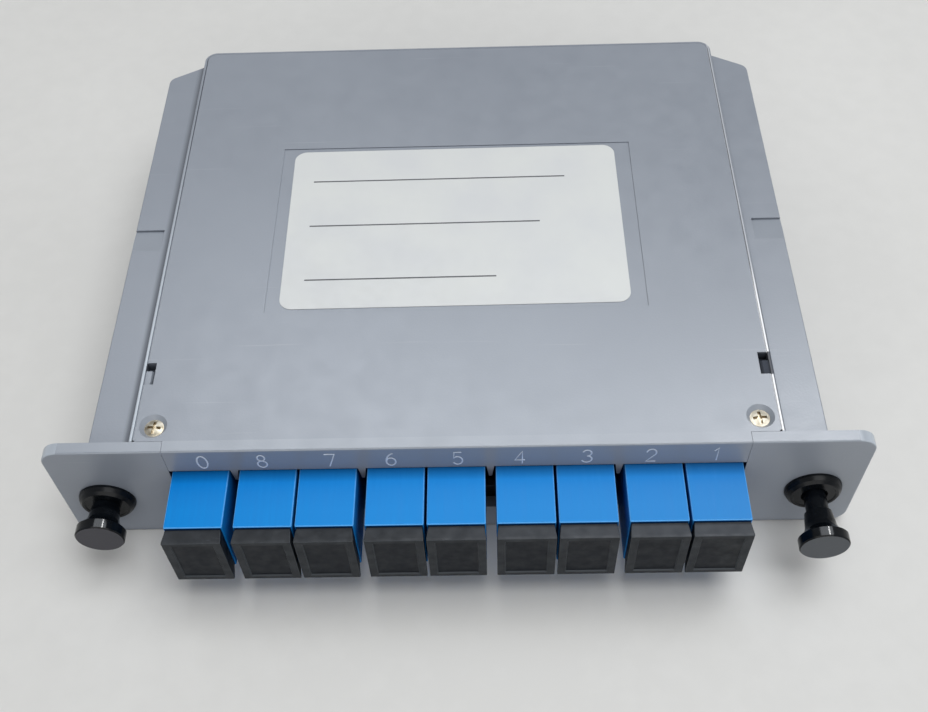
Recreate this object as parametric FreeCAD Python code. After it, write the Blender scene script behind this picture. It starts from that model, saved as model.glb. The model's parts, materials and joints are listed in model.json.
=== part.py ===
import FreeCAD, Part
import math
import os

# Fibre splitter cassette: one input, eight outputs, nine single adapters.
# A two-piece moulded housing slides into a chassis on its side wings and is held
# by two push-pull latches in its front panel.
#
# Millimetres. +X runs along the front panel, +Y to the back, +Z up. The origin is
# at mid width, on the underside, in the plane of the panel's back face.

# Front panel, with an ear beyond each side of the housing
EAR_WIDTH = 14.1
PANEL_HEIGHT = 25.0
PANEL_THICK = 2.0
PANEL_CORNER = 3.0
PANEL_EDGE = 0.3

# Housing behind the panel, which stands out a little beyond the adapter window
WINDOW_MARGIN = 0.51
SHOULDER_WIDTH = 5.3
BODY_DEPTH = 93.4
BODY_CORNER = 2.4
BODY_EDGE = 0.5
WALL = 2.0
FLOOR = 2.0
COVER_THICK = 2.0
SOFT_EDGE = 0.2
RIM = 0.5
SEAM = 0.05
CORNER_RELIEF = 0.35

# Guide wings along both sides, with a detent notch in the top of each
WING_REACH = 7.1
WING_THICK = 2.0
WING_DROP = 2.0
WING_SETBACK = 1.6
WING_TAPER = 3.9
WING_CORNER = 2.0
NOTCH_BACK = 46.5
NOTCH_RAMP = 5.0
NOTCH_DEPTH = 0.4
NOTCH_INSET = 1.9

# Front lip of the cover, which closes the adapter window from above
LIP_GAP = 0.3
LIP_TAB_CLEAR = 0.2
LIP_TAB_DROP = 2.6
LIP_TAB_TIP = 0.4

# Ribs that trap the adapter flanges, and the cover's locating ribs
RIB_THICK = 1.2
LOCATOR_DEPTH = 1.5
LOCATOR_FRONT = 19.0
LOCATOR_CLEAR = 0.15

# Snap windows in the cover's side edges
SNAP_FRONT = 10.9
SNAP_LENGTH = 4.3
SNAP_INSET = 1.6
SNAP_TAB_CLEAR = 0.1
SNAP_TAB_REAR_GAP = 1.4
SNAP_TAB_THICK = 1.3
SNAP_TAB_RISE = 1.6
SNAP_TAB_SLOPE = 0.3

# Cover screws, their countersinks and their corner bosses
SCREW_OFFSET = 1.85
SCREW_BACK = 2.9
SCREW_HEAD = 3.1
SCREW_SHANK = 1.9
SCREW_LENGTH = 9.0
SCREW_CLEAR = 0.1
COUNTERSINK = 4.4
SCREW_DOME = 0.25
CROSS_LENGTH = 2.2
CROSS_WIDTH = 0.5
CROSS_DEPTH = 0.6
CROSS_TURN = 5.0
BOSS_DEPTH = 5.0

# Label and its recess in the cover
RECESS_WIDTH = 64.6
RECESS_LENGTH = 39.4
RECESS_FRONT = 25.3
RECESS_DEPTH = 0.16
LABEL_SIDE_GAP = 2.55
LABEL_END_GAP = 0.8
LABEL_CORNER = 2.2
LABEL_THICK = 0.12
LABEL_SHIFT = -0.25
LABEL_TURN = 0.3

# Adapters: one input, then the outputs in pairs
OUTPUTS = 8
PAIR_GAP = 0.43
GROUP_GAP = 1.64
PORT_WIDTH = 7.5
PORT_HEIGHT = 9.1
PORT_SIDE_WALL = 0.8
PORT_ROOF = 1.8
ADAPTER_LENGTH = 27.0
ADAPTER_REACH = 10.0
ADAPTER_Z = 12.7
ADAPTER_EDGE = 0.25
ADAPTER_FIT = 0.05
FLANGE_PROUD = 1.2
FLANGE_THICK = 2.0
WEB_THICK = 2.0
KEYWAY_WIDTH = 2.4
KEYWAY_DEPTH = 0.45

# Latch arms that stand out from the adapter's web above and below each port
ARM_WIDTH = 3.6
ARM_THICK = 0.6
ARM_LENGTH = 7.0
ARM_GAP = 0.35
HOOK_RISE = 0.45
HOOK_LENGTH = 1.2

# Sleeve holder in the middle of each adapter, and the split sleeve in it
HOLDER_DIAMETER = 5.0
HOLDER_LENGTH = 12.4
HOLDER_LIP = 0.4
SLEEVE_DIAMETER = 3.2
SLEEVE_LENGTH = 11.4
SLEEVE_SLIT = 0.5
SLEEVE_CLEAR = 0.04
FERRULE_DIAMETER = 2.5
FERRULE_CLEAR = 0.01

# Dust caps
CAP_TOP_INSET = 0.23
CAP_LENGTH = 2.5
CAP_TAPER_LENGTH = 2.1
CAP_TAPER_INSET = 0.25
CAP_EDGE = 0.12
CAP_GAP = 0.1
CAP_SIDE_BORDER = 1.2
CAP_END_BORDER = 0.85
CAP_RECESS_DEPTH = 0.25
CAP_RECESS_SLOPE = 0.15
CAP_PLUG_LENGTH = 10.0
CAP_PLUG_CLEAR = 0.1
CAP_BORE_CLEAR = 0.3
CAP_GROOVE_CLEAR = 0.25

# Plug connectors behind the adapters
PLUG_LENGTH = 24.5
PLUG_CLEAR = 0.1
PLUG_GRIP_INSET = 0.4
PLUG_GRIP_LENGTH = 10.0
PLUG_BORE_CLEAR = 0.4
PLUG_BORE_DEPTH = 5.6
BOOT_LENGTH = 10.0
BOOT_FRONT_DIAMETER = 4.4
BOOT_REAR_DIAMETER = 2.2

# Buffered fibres
FIBRE_DIAMETER = 0.9
FIBRE_PITCH = 1.0
FIBRE_BEND = 10.0
FIBRE_LOOP = 13.0
FIBRE_SLOPE = 7.0
FIBRE_LEAD = 3.4

# Splitter package on edge along the rear wall
CASE_LENGTH = 39.6
CASE_THICK = 4.6
CASE_HEIGHT = 9.6
CASE_WALL = 0.4
CASE_EDGE = 0.4
CASE_REAR_GAP = 1.6
CASE_LEAD = 0.3
CHIP_LENGTH = 12.0
ARRAY_LENGTH = 5.0
CHIP_WIDTH = 2.4
CHIP_HEIGHT = 3.0
CRADLE_THICK = 1.6
CRADLE_RISE = 4.0
CRADLE_LIP = 1.2
CRADLE_SHARE = 0.3
LOOP_START = 21.0
GUIDE_THICK = 1.2
GUIDE_CLEAR = 0.3
GUIDE_HALF_ANGLE = 55.0

# Push-pull latches
LATCH_OFFSET = 6.7
LATCH_Z = 10.9
COLLAR_DIAMETER = 9.2
COLLAR_THICK = 1.5
COLLAR_SKIRT = 0.4
COLLAR_FACE = 7.7
COLLAR_BULGE = 0.1
COLLAR_RIM = 0.4
COLLAR_DISH = 0.12
COLLAR_MOUTH = 4.3
COLLAR_MOUTH_DEPTH = 0.6
ROOT_DIAMETER = 6.8
LEG_DIAMETER = 6.0
LEG_LENGTH = 5.5
LEG_TAPER = 1.0
LEG_SLIT = 0.7
ROOT_FIT = 0.05
KNOB_DIAMETER = 7.9
KNOB_BEVEL = 0.2
KNOB_BAND = 1.45
KNOB_FLARE = 2.3
NECK_DIAMETER = 4.4
NECK_SWELL = 0.25
NECK_GAP = 0.05
KNOB_LENGTH = 6.0
SHAFT_DIAMETER = 3.6
SHAFT_CLEAR = 0.15
SHAFT_LENGTH = 9.0
SHAFT_TIP = 0.8
LATCH_TRAVEL = 3.3

# Sizes and places that follow from the sizes above
ADAPTER_WIDTH = PORT_WIDTH + 2.0 * PORT_SIDE_WALL
ADAPTER_HEIGHT = PORT_HEIGHT + 2.0 * PORT_ROOF
PAIR_PITCH = ADAPTER_WIDTH + PAIR_GAP
GROUP_PITCH = ADAPTER_WIDTH + GROUP_GAP
ROW_LENGTH = (OUTPUTS // 2) * PAIR_PITCH + (OUTPUTS - OUTPUTS // 2) * GROUP_PITCH
WINDOW_SIDE = (ROW_LENGTH + ADAPTER_WIDTH) / 2.0 + WINDOW_MARGIN
BODY_SIDE = WINDOW_SIDE + SHOULDER_WIDTH
PANEL_SIDE = BODY_SIDE + EAR_WIDTH
SCREW_X = WINDOW_SIDE + SCREW_OFFSET
LATCH_X = BODY_SIDE + LATCH_OFFSET
INNER_SIDE = BODY_SIDE - WALL
INNER_REAR = BODY_DEPTH - WALL
SEAT_Z = PANEL_HEIGHT - COVER_THICK
SEAT_SIDE = BODY_SIDE - RIM
SEAT_REAR = BODY_DEPTH - RIM
COVER_SIDE = SEAT_SIDE - SEAM
COVER_REAR = SEAT_REAR - SEAM
LIP_SIDE = WINDOW_SIDE - SEAM
PANEL_FRONT = -PANEL_THICK
ADAPTER_FRONT = PANEL_FRONT - ADAPTER_REACH
ADAPTER_REAR = ADAPTER_FRONT + ADAPTER_LENGTH
ADAPTER_MIDDLE = (ADAPTER_FRONT + ADAPTER_REAR) / 2.0
ADAPTER_BOTTOM = ADAPTER_Z - ADAPTER_HEIGHT / 2.0
ADAPTER_TOP = ADAPTER_Z + ADAPTER_HEIGHT / 2.0
RIB_FRONT = FLANGE_THICK + 2.0 * ADAPTER_FIT
PLUG_FRONT = ADAPTER_MIDDLE + WEB_THICK / 2.0 + PLUG_CLEAR
PLUG_REAR = PLUG_FRONT + PLUG_LENGTH
BOOT_REAR = PLUG_REAR + BOOT_LENGTH
CAP_HEIGHT = ADAPTER_HEIGHT - 2.0 * CAP_TOP_INSET
CAP_PLUG_END = ADAPTER_FRONT + CAP_PLUG_LENGTH
CASE_Y = INNER_REAR - CASE_REAR_GAP - CASE_THICK / 2.0
Y_AXIS = FreeCAD.Vector(0.0, 1.0, 0.0)


def box(x0, x1, y0, y1, z0, z1):
    """Box between two corners."""
    corner = FreeCAD.Vector(x0, y0, z0)
    return Part.makeBox(x1 - x0, y1 - y0, z1 - z0, corner)


def block(x, z, width, height, y0, y1):
    """Box centred on (x, z) that runs along Y."""
    return box(x - width / 2.0, x + width / 2.0, y0, y1, z - height / 2.0, z + height / 2.0)


def rod(x, z, radius, y0, y1):
    """Cylinder along Y."""
    return Part.makeCylinder(radius, y1 - y0, FreeCAD.Vector(x, y0, z), Y_AXIS)


def post(x, y, radius, z0, z1):
    """Cylinder along Z."""
    return Part.makeCylinder(radius, z1 - z0, FreeCAD.Vector(x, y, z0))


def straight_edges(shape, direction):
    """Straight edges of a shape that run along a direction."""
    found = []
    for edge in shape.Edges:
        if isinstance(edge.Curve, Part.Line) and edge.Length > 1e-6:
            along = edge.tangentAt(edge.FirstParameter)
            if abs(abs(along.dot(direction)) - 1.0) < 1e-6:
                found.append(edge)
    return found


def edges_at(shape, axis, value):
    """Edges that lie wholly in the plane where the named axis has a value."""
    low, high = axis + "Min", axis + "Max"
    found = []
    for edge in shape.Edges:
        limits = edge.BoundBox
        if abs(getattr(limits, low) - value) < 1e-4 and abs(getattr(limits, high) - value) < 1e-4:
            found.append(edge)
    return found


def mirrored(shape):
    """Copy of a shape on the other side of the middle plane."""
    return shape.mirror(FreeCAD.Vector(0.0, 0.0, 0.0), FreeCAD.Vector(1.0, 0.0, 0.0))


def both_sides(shape):
    """A shape and its mirror image."""
    return [shape, mirrored(shape)]


def turned(x, y, z, edges):
    """Solid of revolution about Y, from profile edges in (radius, length)."""
    solid = Part.Face(Part.Wire(edges)).revolve(FreeCAD.Vector(0.0, 0.0, 0.0), Y_AXIS, 360.0)
    solid.translate(FreeCAD.Vector(x, y, z))
    return solid


def outline(points):
    """Closed chain of straight edges through (radius, length) points."""
    corners = [FreeCAD.Vector(radius, length, 0.0) for radius, length in points]
    corners.append(corners[0])
    return [Part.makeLine(start, end) for start, end in zip(corners, corners[1:])]


def adapter_places():
    """Name and X of each adapter from left to right, with the outputs in pairs."""
    xs = [0.0]
    for index in range(OUTPUTS):
        xs.append(xs[-1] + (GROUP_PITCH if index % 2 == 0 else PAIR_PITCH))
    names = ["in"] + [str(number) for number in range(OUTPUTS, 0, -1)]
    return [(name, x - xs[-1] / 2.0) for name, x in zip(names, xs)]


def wing_plate():
    """Right guide wing, tapered at its rear end, with the detent notch in its top."""
    inner = BODY_SIDE - WALL / 2.0
    outer = BODY_SIDE + WING_REACH
    rear = BODY_DEPTH - WING_SETBACK
    top = PANEL_HEIGHT - WING_DROP
    corners = [
        FreeCAD.Vector(inner, 0.0, top - WING_THICK),
        FreeCAD.Vector(outer, 0.0, top - WING_THICK),
        FreeCAD.Vector(outer, rear - WING_TAPER, top - WING_THICK),
        FreeCAD.Vector(BODY_SIDE, rear, top - WING_THICK),
        FreeCAD.Vector(inner, rear, top - WING_THICK),
    ]
    face = Part.Face(Part.makePolygon(corners + corners[:1]))
    plate = face.extrude(FreeCAD.Vector(0.0, 0.0, WING_THICK))
    tip = [edge for edge in straight_edges(plate, FreeCAD.Vector(0.0, 0.0, 1.0))
           if edge.BoundBox.XMin > outer - 1e-3 and edge.BoundBox.YMin > SOFT_EDGE]
    plate = plate.makeFillet(WING_CORNER, tip)
    free_edges = [edge for edge in edges_at(plate, "Z", top) + edges_at(plate, "Z", top - WING_THICK)
                  if edge.BoundBox.XMax > BODY_SIDE + 1e-3 and edge.BoundBox.YMax > SOFT_EDGE]
    plate = plate.makeFillet(SOFT_EDGE, free_edges)

    front = NOTCH_BACK - NOTCH_RAMP
    start = BODY_SIDE + NOTCH_INSET
    profile = [
        FreeCAD.Vector(start, front, top),
        FreeCAD.Vector(start, NOTCH_BACK, top),
        FreeCAD.Vector(start, NOTCH_BACK, top - NOTCH_DEPTH),
    ]
    wedge = Part.Face(Part.makePolygon(profile + profile[:1]))
    return plate.cut(wedge.extrude(FreeCAD.Vector(WING_REACH, 0.0, 0.0)))


def panel_plate():
    """Full front panel with rounded corners and a soft front edge."""
    plate = box(-PANEL_SIDE, PANEL_SIDE, PANEL_FRONT, 0.0, 0.0, PANEL_HEIGHT)
    plate = plate.makeFillet(PANEL_CORNER, straight_edges(plate, Y_AXIS))
    return plate.makeFillet(PANEL_EDGE, edges_at(plate, "Y", PANEL_FRONT))


def case_envelope(clearance):
    """Block that the splitter package fills, grown by a clearance."""
    left, right = case_ends()
    return box(left - clearance, right + clearance,
               CASE_Y - CASE_THICK / 2.0 - clearance, CASE_Y + CASE_THICK / 2.0 + clearance,
               ADAPTER_Z - CASE_HEIGHT / 2.0, ADAPTER_Z + CASE_HEIGHT / 2.0 + clearance)


def case_ends():
    """X of the splitter package's two end faces."""
    left = adapter_places()[0][1] + FIBRE_BEND + CASE_LEAD
    return left, left + CASE_LENGTH


def fibre_level(number):
    """Height of an output fibre where it leaves the splitter package."""
    return ADAPTER_Z + ((OUTPUTS + 1) / 2.0 - number) * FIBRE_PITCH


def cradle(x):
    """Rib on the floor, notched to hold the splitter package on edge."""
    front = CASE_Y - CASE_THICK / 2.0 - CRADLE_LIP
    top = ADAPTER_Z - CASE_HEIGHT / 2.0 + CRADLE_RISE
    rib = box(x - CRADLE_THICK / 2.0, x + CRADLE_THICK / 2.0, front, INNER_REAR + WALL / 2.0,
              FLOOR / 2.0, top)
    return rib.cut(case_envelope(SEAM))


def loop_guide():
    """Curved wall on the floor that holds the inside of the fibre loop."""
    outer = FIBRE_LOOP - FIBRE_DIAMETER / 2.0 - GUIDE_CLEAR
    centre_y = CASE_Y - FIBRE_LOOP
    top = fibre_level(OUTPUTS / 2.0 - 1.0) - FIBRE_DIAMETER / 2.0 - GUIDE_CLEAR
    height = top - FLOOR / 2.0
    centre = FreeCAD.Vector(LOOP_START, centre_y, FLOOR / 2.0)
    upward = FreeCAD.Vector(0.0, 0.0, 1.0)
    sweep = 2.0 * GUIDE_HALF_ANGLE
    wedge = Part.makeCylinder(outer, height, centre, upward, sweep)
    core = Part.makeCylinder(outer - GUIDE_THICK, height, centre, upward, sweep)
    wall = wedge.cut(core)
    wall.rotate(centre, upward, -GUIDE_HALF_ANGLE)
    return wall


def snap_tab():
    """Tab of the right side wall that stands in the cover's snap window."""
    front = SNAP_FRONT + SNAP_TAB_CLEAR
    rear = SNAP_FRONT + SNAP_LENGTH - SNAP_TAB_REAR_GAP
    outer = SEAT_SIDE + SEAM
    inner = SEAT_SIDE - SNAP_TAB_THICK
    top = SEAT_Z + SNAP_TAB_RISE
    corners = [
        FreeCAD.Vector(inner, front, SEAT_Z - SEAM),
        FreeCAD.Vector(outer, front, SEAT_Z - SEAM),
        FreeCAD.Vector(outer, front, top),
        FreeCAD.Vector(inner + SNAP_TAB_SLOPE, front, top),
        FreeCAD.Vector(inner, front, top - SNAP_TAB_SLOPE),
    ]
    face = Part.Face(Part.makePolygon(corners + corners[:1]))
    return face.extrude(FreeCAD.Vector(0.0, rear - front, 0.0))


def base_shell():
    """Floor, walls, panel ears, lower panel band, wings and the ribs inside."""
    body = box(-BODY_SIDE, BODY_SIDE, PANEL_FRONT / 2.0, BODY_DEPTH, 0.0, PANEL_HEIGHT)
    rear_corners = [edge for edge in straight_edges(body, FreeCAD.Vector(0.0, 0.0, 1.0))
                    if edge.BoundBox.YMin > BODY_DEPTH - 1e-3]
    body = body.makeFillet(BODY_CORNER, rear_corners)
    underside = [edge for edge in edges_at(body, "Z", 0.0) if edge.BoundBox.YMax > 0.0]
    body = body.makeFillet(BODY_EDGE, underside)
    top_rim = [edge for edge in edges_at(body, "Z", PANEL_HEIGHT) if edge.BoundBox.YMax > 0.0]
    body = body.makeFillet(SOFT_EDGE, top_rim)
    body = body.cut(box(-INNER_SIDE, INNER_SIDE, PANEL_FRONT, INNER_REAR, FLOOR, PANEL_HEIGHT))

    seat = box(-SEAT_SIDE, SEAT_SIDE, PANEL_FRONT, SEAT_REAR, SEAT_Z, PANEL_HEIGHT)
    seat_corners = [edge for edge in straight_edges(seat, FreeCAD.Vector(0.0, 0.0, 1.0))
                    if edge.BoundBox.YMin > SEAT_REAR - 1e-3]
    body = body.cut(seat.makeFillet(BODY_CORNER - RIM, seat_corners))

    window = box(-WINDOW_SIDE, WINDOW_SIDE, 2.0 * PANEL_FRONT, 0.0,
                 ADAPTER_BOTTOM - ADAPTER_FIT, 2.0 * PANEL_HEIGHT)
    pieces = [panel_plate().cut(window)]
    pieces += both_sides(wing_plate())
    rib_top = ADAPTER_BOTTOM - ADAPTER_FIT
    pieces.append(box(-INNER_SIDE - WALL / 2.0, INNER_SIDE + WALL / 2.0,
                      RIB_FRONT, RIB_FRONT + RIB_THICK, FLOOR / 2.0, rib_top))
    boss = box(WINDOW_SIDE, BODY_SIDE - WALL / 2.0, -PANEL_THICK / 2.0, BOSS_DEPTH, FLOOR / 2.0, SEAT_Z)
    pieces += both_sides(boss)
    pieces += both_sides(snap_tab())
    left, right = case_ends()
    inset = CRADLE_SHARE * CASE_LENGTH / 2.0
    pieces += [cradle(left + inset), cradle(right - inset), loop_guide()]
    shell = body.cut(window).multiFuse(pieces)

    cuts = []
    pilot_bottom = SEAT_Z - SCREW_LENGTH
    cuts += both_sides(post(SCREW_X, SCREW_BACK, SCREW_SHANK / 2.0 + SCREW_CLEAR, pilot_bottom, SEAT_Z))
    latch_hole = rod(LATCH_X, LATCH_Z, ROOT_DIAMETER / 2.0 + ROOT_FIT, 2.0 * PANEL_FRONT, PANEL_THICK)
    cuts += both_sides(latch_hole)
    return shell.cut(cuts).removeSplitter()


def cover_plate():
    """Cover plate: round rear corners, soft long edges, sharp front and rear edges."""
    plan = box(-COVER_SIDE, COVER_SIDE, SEAM, COVER_REAR, SEAT_Z, PANEL_HEIGHT)
    rear_corners = [edge for edge in straight_edges(plan, FreeCAD.Vector(0.0, 0.0, 1.0))
                    if edge.BoundBox.YMin > COVER_REAR - 1e-3]
    plan = plan.makeFillet(BODY_CORNER - RIM - SEAM, rear_corners)
    bar = box(-COVER_SIDE, COVER_SIDE, PANEL_FRONT, BODY_DEPTH, SEAT_Z, PANEL_HEIGHT)
    long_edges = [edge for edge in straight_edges(bar, Y_AXIS)
                  if edge.BoundBox.ZMin > PANEL_HEIGHT - 1e-3]
    return plan.common(bar.makeFillet(SOFT_EDGE, long_edges))


def lip_tab(middle, half_gap, top):
    """Tapered tab of the lip that hangs in the gap between two adapters."""
    bottom = ADAPTER_TOP - LIP_TAB_DROP
    tip = half_gap * LIP_TAB_TIP
    corners = [
        FreeCAD.Vector(middle - half_gap, PANEL_FRONT, top),
        FreeCAD.Vector(middle - tip, PANEL_FRONT, bottom),
        FreeCAD.Vector(middle + tip, PANEL_FRONT, bottom),
        FreeCAD.Vector(middle + half_gap, PANEL_FRONT, top),
    ]
    face = Part.Face(Part.makePolygon(corners + corners[:1]))
    return face.extrude(FreeCAD.Vector(0.0, PANEL_THICK, 0.0))


def top_cover():
    """Cover plate with its lip, tabs, ribs, label recess, windows and screw seats."""
    lip_bottom = ADAPTER_TOP + LIP_GAP
    lip = box(-LIP_SIDE, LIP_SIDE, PANEL_FRONT, 0.0, lip_bottom, PANEL_HEIGHT)
    top_edge = [edge for edge in edges_at(lip, "Y", PANEL_FRONT)
                if edge.BoundBox.ZMin > PANEL_HEIGHT - 1e-3]
    lip = lip.makeFillet(PANEL_EDGE, top_edge)
    bridge = box(-LIP_SIDE, LIP_SIDE, -PANEL_THICK / 2.0, BODY_EDGE + SEAM, SEAT_Z, PANEL_HEIGHT)
    rib = box(-LIP_SIDE, LIP_SIDE, RIB_FRONT, RIB_FRONT + RIB_THICK,
              ADAPTER_TOP + ADAPTER_FIT, SEAT_Z + SEAM)
    pieces = [lip, bridge, rib]

    places = adapter_places()
    for (_, left), (_, right) in zip(places, places[1:]):
        if right - left > (GROUP_PITCH + PAIR_PITCH) / 2.0:
            half_gap = (right - left - ADAPTER_WIDTH) / 2.0 - LIP_TAB_CLEAR
            pieces.append(lip_tab((left + right) / 2.0, half_gap, lip_bottom + SEAM))

    side = INNER_SIDE - LOCATOR_CLEAR
    locator_rear = INNER_REAR - LOCATOR_CLEAR
    floor = SEAT_Z - LOCATOR_DEPTH
    pieces += both_sides(box(side - RIB_THICK, side, LOCATOR_FRONT, locator_rear, floor, SEAT_Z + SEAM))
    pieces.append(box(-side, side, locator_rear - RIB_THICK, locator_rear, floor, SEAT_Z + SEAM))
    cover = cover_plate().multiFuse(pieces)

    recess = box(-RECESS_WIDTH / 2.0, RECESS_WIDTH / 2.0, RECESS_FRONT, RECESS_FRONT + RECESS_LENGTH,
                 PANEL_HEIGHT - RECESS_DEPTH, PANEL_HEIGHT)
    cuts = [recess] + both_sides(post(COVER_SIDE, SEAM, CORNER_RELIEF, FLOOR, PANEL_HEIGHT))
    cuts += both_sides(box(COVER_SIDE - SNAP_INSET, BODY_SIDE, SNAP_FRONT, SNAP_FRONT + SNAP_LENGTH,
                           FLOOR, PANEL_HEIGHT))
    cuts += both_sides(screw_seat())
    return cover.cut(cuts).removeSplitter()


def screw_seat():
    """Countersunk clearance hole for the right cover screw."""
    hole_radius = SCREW_SHANK / 2.0 + SCREW_CLEAR
    depth = COUNTERSINK / 2.0 - hole_radius
    top = FreeCAD.Vector(SCREW_X, SCREW_BACK, PANEL_HEIGHT - depth)
    cone = Part.makeCone(hole_radius, COUNTERSINK / 2.0, depth, top)
    return post(SCREW_X, SCREW_BACK, hole_radius, FLOOR, PANEL_HEIGHT).fuse(cone)


def screw(side):
    """Countersunk cross-head screw with a low dome, seated in the cone of its hole."""
    shank = SCREW_SHANK / 2.0
    head = SCREW_HEAD / 2.0
    rim_z = PANEL_HEIGHT - (COUNTERSINK - SCREW_HEAD) / 2.0
    cone_z = rim_z - (head - shank)
    dome_radius = (head ** 2 + SCREW_DOME ** 2) / (2.0 * SCREW_DOME)
    half_angle = math.asin(head / dome_radius) / 2.0
    tip = FreeCAD.Vector(0.0, 0.0, rim_z - SCREW_LENGTH)
    corners = [
        FreeCAD.Vector(0.0, 0.0, rim_z + SCREW_DOME),
        tip,
        tip + FreeCAD.Vector(shank, 0.0, 0.0),
        FreeCAD.Vector(shank, 0.0, cone_z),
        FreeCAD.Vector(head, 0.0, rim_z),
    ]
    edges = [Part.makeLine(start, end) for start, end in zip(corners, corners[1:])]
    on_dome = FreeCAD.Vector(dome_radius * math.sin(half_angle), 0.0,
                             rim_z + SCREW_DOME - dome_radius * (1.0 - math.cos(half_angle)))
    edges.append(Part.Arc(corners[-1], on_dome, corners[0]).toShape())
    upward = FreeCAD.Vector(0.0, 0.0, 1.0)
    middle = FreeCAD.Vector(0.0, 0.0, 0.0)
    body = Part.Face(Part.Wire(edges)).revolve(middle, upward, 360.0)
    half = CROSS_LENGTH / 2.0
    slim = CROSS_WIDTH / 2.0
    bottom = rim_z + SCREW_DOME - CROSS_DEPTH
    cross = box(-half, half, -slim, slim, bottom, PANEL_HEIGHT)
    cross = cross.fuse(box(-slim, slim, -half, half, bottom, PANEL_HEIGHT))
    cross.rotate(middle, upward, side * CROSS_TURN)
    body = body.cut(cross)
    body.translate(FreeCAD.Vector(side * SCREW_X, SCREW_BACK, 0.0))
    return body


def label():
    """Paper label with round corners, laid a little askew in the recess."""
    bottom = PANEL_HEIGHT - RECESS_DEPTH
    middle = RECESS_FRONT + RECESS_LENGTH / 2.0
    half_width = RECESS_WIDTH / 2.0 - LABEL_SIDE_GAP
    half_length = RECESS_LENGTH / 2.0 - LABEL_END_GAP
    sheet = box(LABEL_SHIFT - half_width, LABEL_SHIFT + half_width,
                middle - half_length, middle + half_length, bottom, bottom + LABEL_THICK)
    upward = FreeCAD.Vector(0.0, 0.0, 1.0)
    sheet = sheet.makeFillet(LABEL_CORNER, straight_edges(sheet, upward))
    sheet.rotate(FreeCAD.Vector(LABEL_SHIFT, middle, bottom), upward, LABEL_TURN)
    return sheet


def latch_arm(x, upper, toward):
    """One hooked latch arm of an adapter, above or below the port axis."""
    side = 1.0 if upper else -1.0
    root = ADAPTER_MIDDLE
    end = root + toward * (WEB_THICK / 2.0 + ARM_LENGTH)
    hook = end - toward * HOOK_LENGTH
    low = PORT_HEIGHT / 2.0
    corners = [
        (root, low),
        (root, low + ARM_THICK),
        (end, low + ARM_THICK),
        (end, low),
        (hook, low - HOOK_RISE),
        (hook, low),
    ]
    points = [FreeCAD.Vector(x - ARM_WIDTH / 2.0, y, ADAPTER_Z + side * z) for y, z in corners]
    face = Part.Face(Part.makePolygon(points + points[:1]))
    return face.extrude(FreeCAD.Vector(ARM_WIDTH, 0.0, 0.0))


def adapter(x):
    """Single adapter: housing, flange, two ports, latch arms and sleeve holder."""
    shell = block(x, ADAPTER_Z, ADAPTER_WIDTH, ADAPTER_HEIGHT, ADAPTER_FRONT, ADAPTER_REAR)
    outer_edges = straight_edges(shell, Y_AXIS) + edges_at(shell, "Y", ADAPTER_FRONT)
    shell = shell.makeFillet(ADAPTER_EDGE, outer_edges)
    flange = block(x, ADAPTER_Z, ADAPTER_WIDTH - 2.0 * ADAPTER_EDGE, ADAPTER_HEIGHT + 2.0 * FLANGE_PROUD,
                   ADAPTER_FIT, ADAPTER_FIT + FLANGE_THICK)
    web_front = ADAPTER_MIDDLE - WEB_THICK / 2.0
    web_rear = ADAPTER_MIDDLE + WEB_THICK / 2.0
    pocket_height = PORT_HEIGHT + 2.0 * (ARM_THICK + ARM_GAP)
    pocket_width = ARM_WIDTH + 2.0 * ARM_GAP
    keyway_x = x + PORT_WIDTH / 2.0
    hollows = []
    for start, end in ((ADAPTER_FRONT, web_front), (web_rear, ADAPTER_REAR)):
        hollows.append(block(x, ADAPTER_Z, PORT_WIDTH, PORT_HEIGHT, start, end))
        hollows.append(block(keyway_x, ADAPTER_Z, 2.0 * KEYWAY_DEPTH, KEYWAY_WIDTH, start, end))
    reach = ARM_LENGTH + ARM_GAP
    hollows.append(block(x, ADAPTER_Z, pocket_width, pocket_height, web_front - reach, web_front))
    hollows.append(block(x, ADAPTER_Z, pocket_width, pocket_height, web_rear, web_rear + reach))
    arms = [latch_arm(x, upper, toward) for upper in (True, False) for toward in (1.0, -1.0)]
    holder = rod(x, ADAPTER_Z, HOLDER_DIAMETER / 2.0,
                 ADAPTER_MIDDLE - HOLDER_LENGTH / 2.0, ADAPTER_MIDDLE + HOLDER_LENGTH / 2.0)
    housing = shell.fuse(flange).cut(hollows).multiFuse(arms + [holder])
    room = HOLDER_LENGTH / 2.0 - HOLDER_LIP
    sleeve_room = rod(x, ADAPTER_Z, SLEEVE_DIAMETER / 2.0 + SLEEVE_CLEAR,
                      ADAPTER_MIDDLE - room, ADAPTER_MIDDLE + room)
    ferrule_way = rod(x, ADAPTER_Z, FERRULE_DIAMETER / 2.0 + SLEEVE_CLEAR, ADAPTER_FRONT, ADAPTER_REAR)
    return housing.cut([sleeve_room, ferrule_way]).removeSplitter()


def sleeve(x):
    """Split ceramic sleeve in an adapter's holder."""
    start = ADAPTER_MIDDLE - SLEEVE_LENGTH / 2.0
    end = ADAPTER_MIDDLE + SLEEVE_LENGTH / 2.0
    tube = rod(x, ADAPTER_Z, SLEEVE_DIAMETER / 2.0, start, end)
    bore = rod(x, ADAPTER_Z, FERRULE_DIAMETER / 2.0 + FERRULE_CLEAR, start, end)
    slit = box(x - SLEEVE_SLIT / 2.0, x + SLEEVE_SLIT / 2.0, start, end, ADAPTER_Z, ADAPTER_TOP)
    return tube.cut([bore, slit])


def ferrule(x):
    """Ceramic ferrule of a plug connector, ending at the adapter's middle."""
    return rod(x, ADAPTER_Z, FERRULE_DIAMETER / 2.0, ADAPTER_MIDDLE, PLUG_FRONT + PLUG_BORE_DEPTH)


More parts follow.
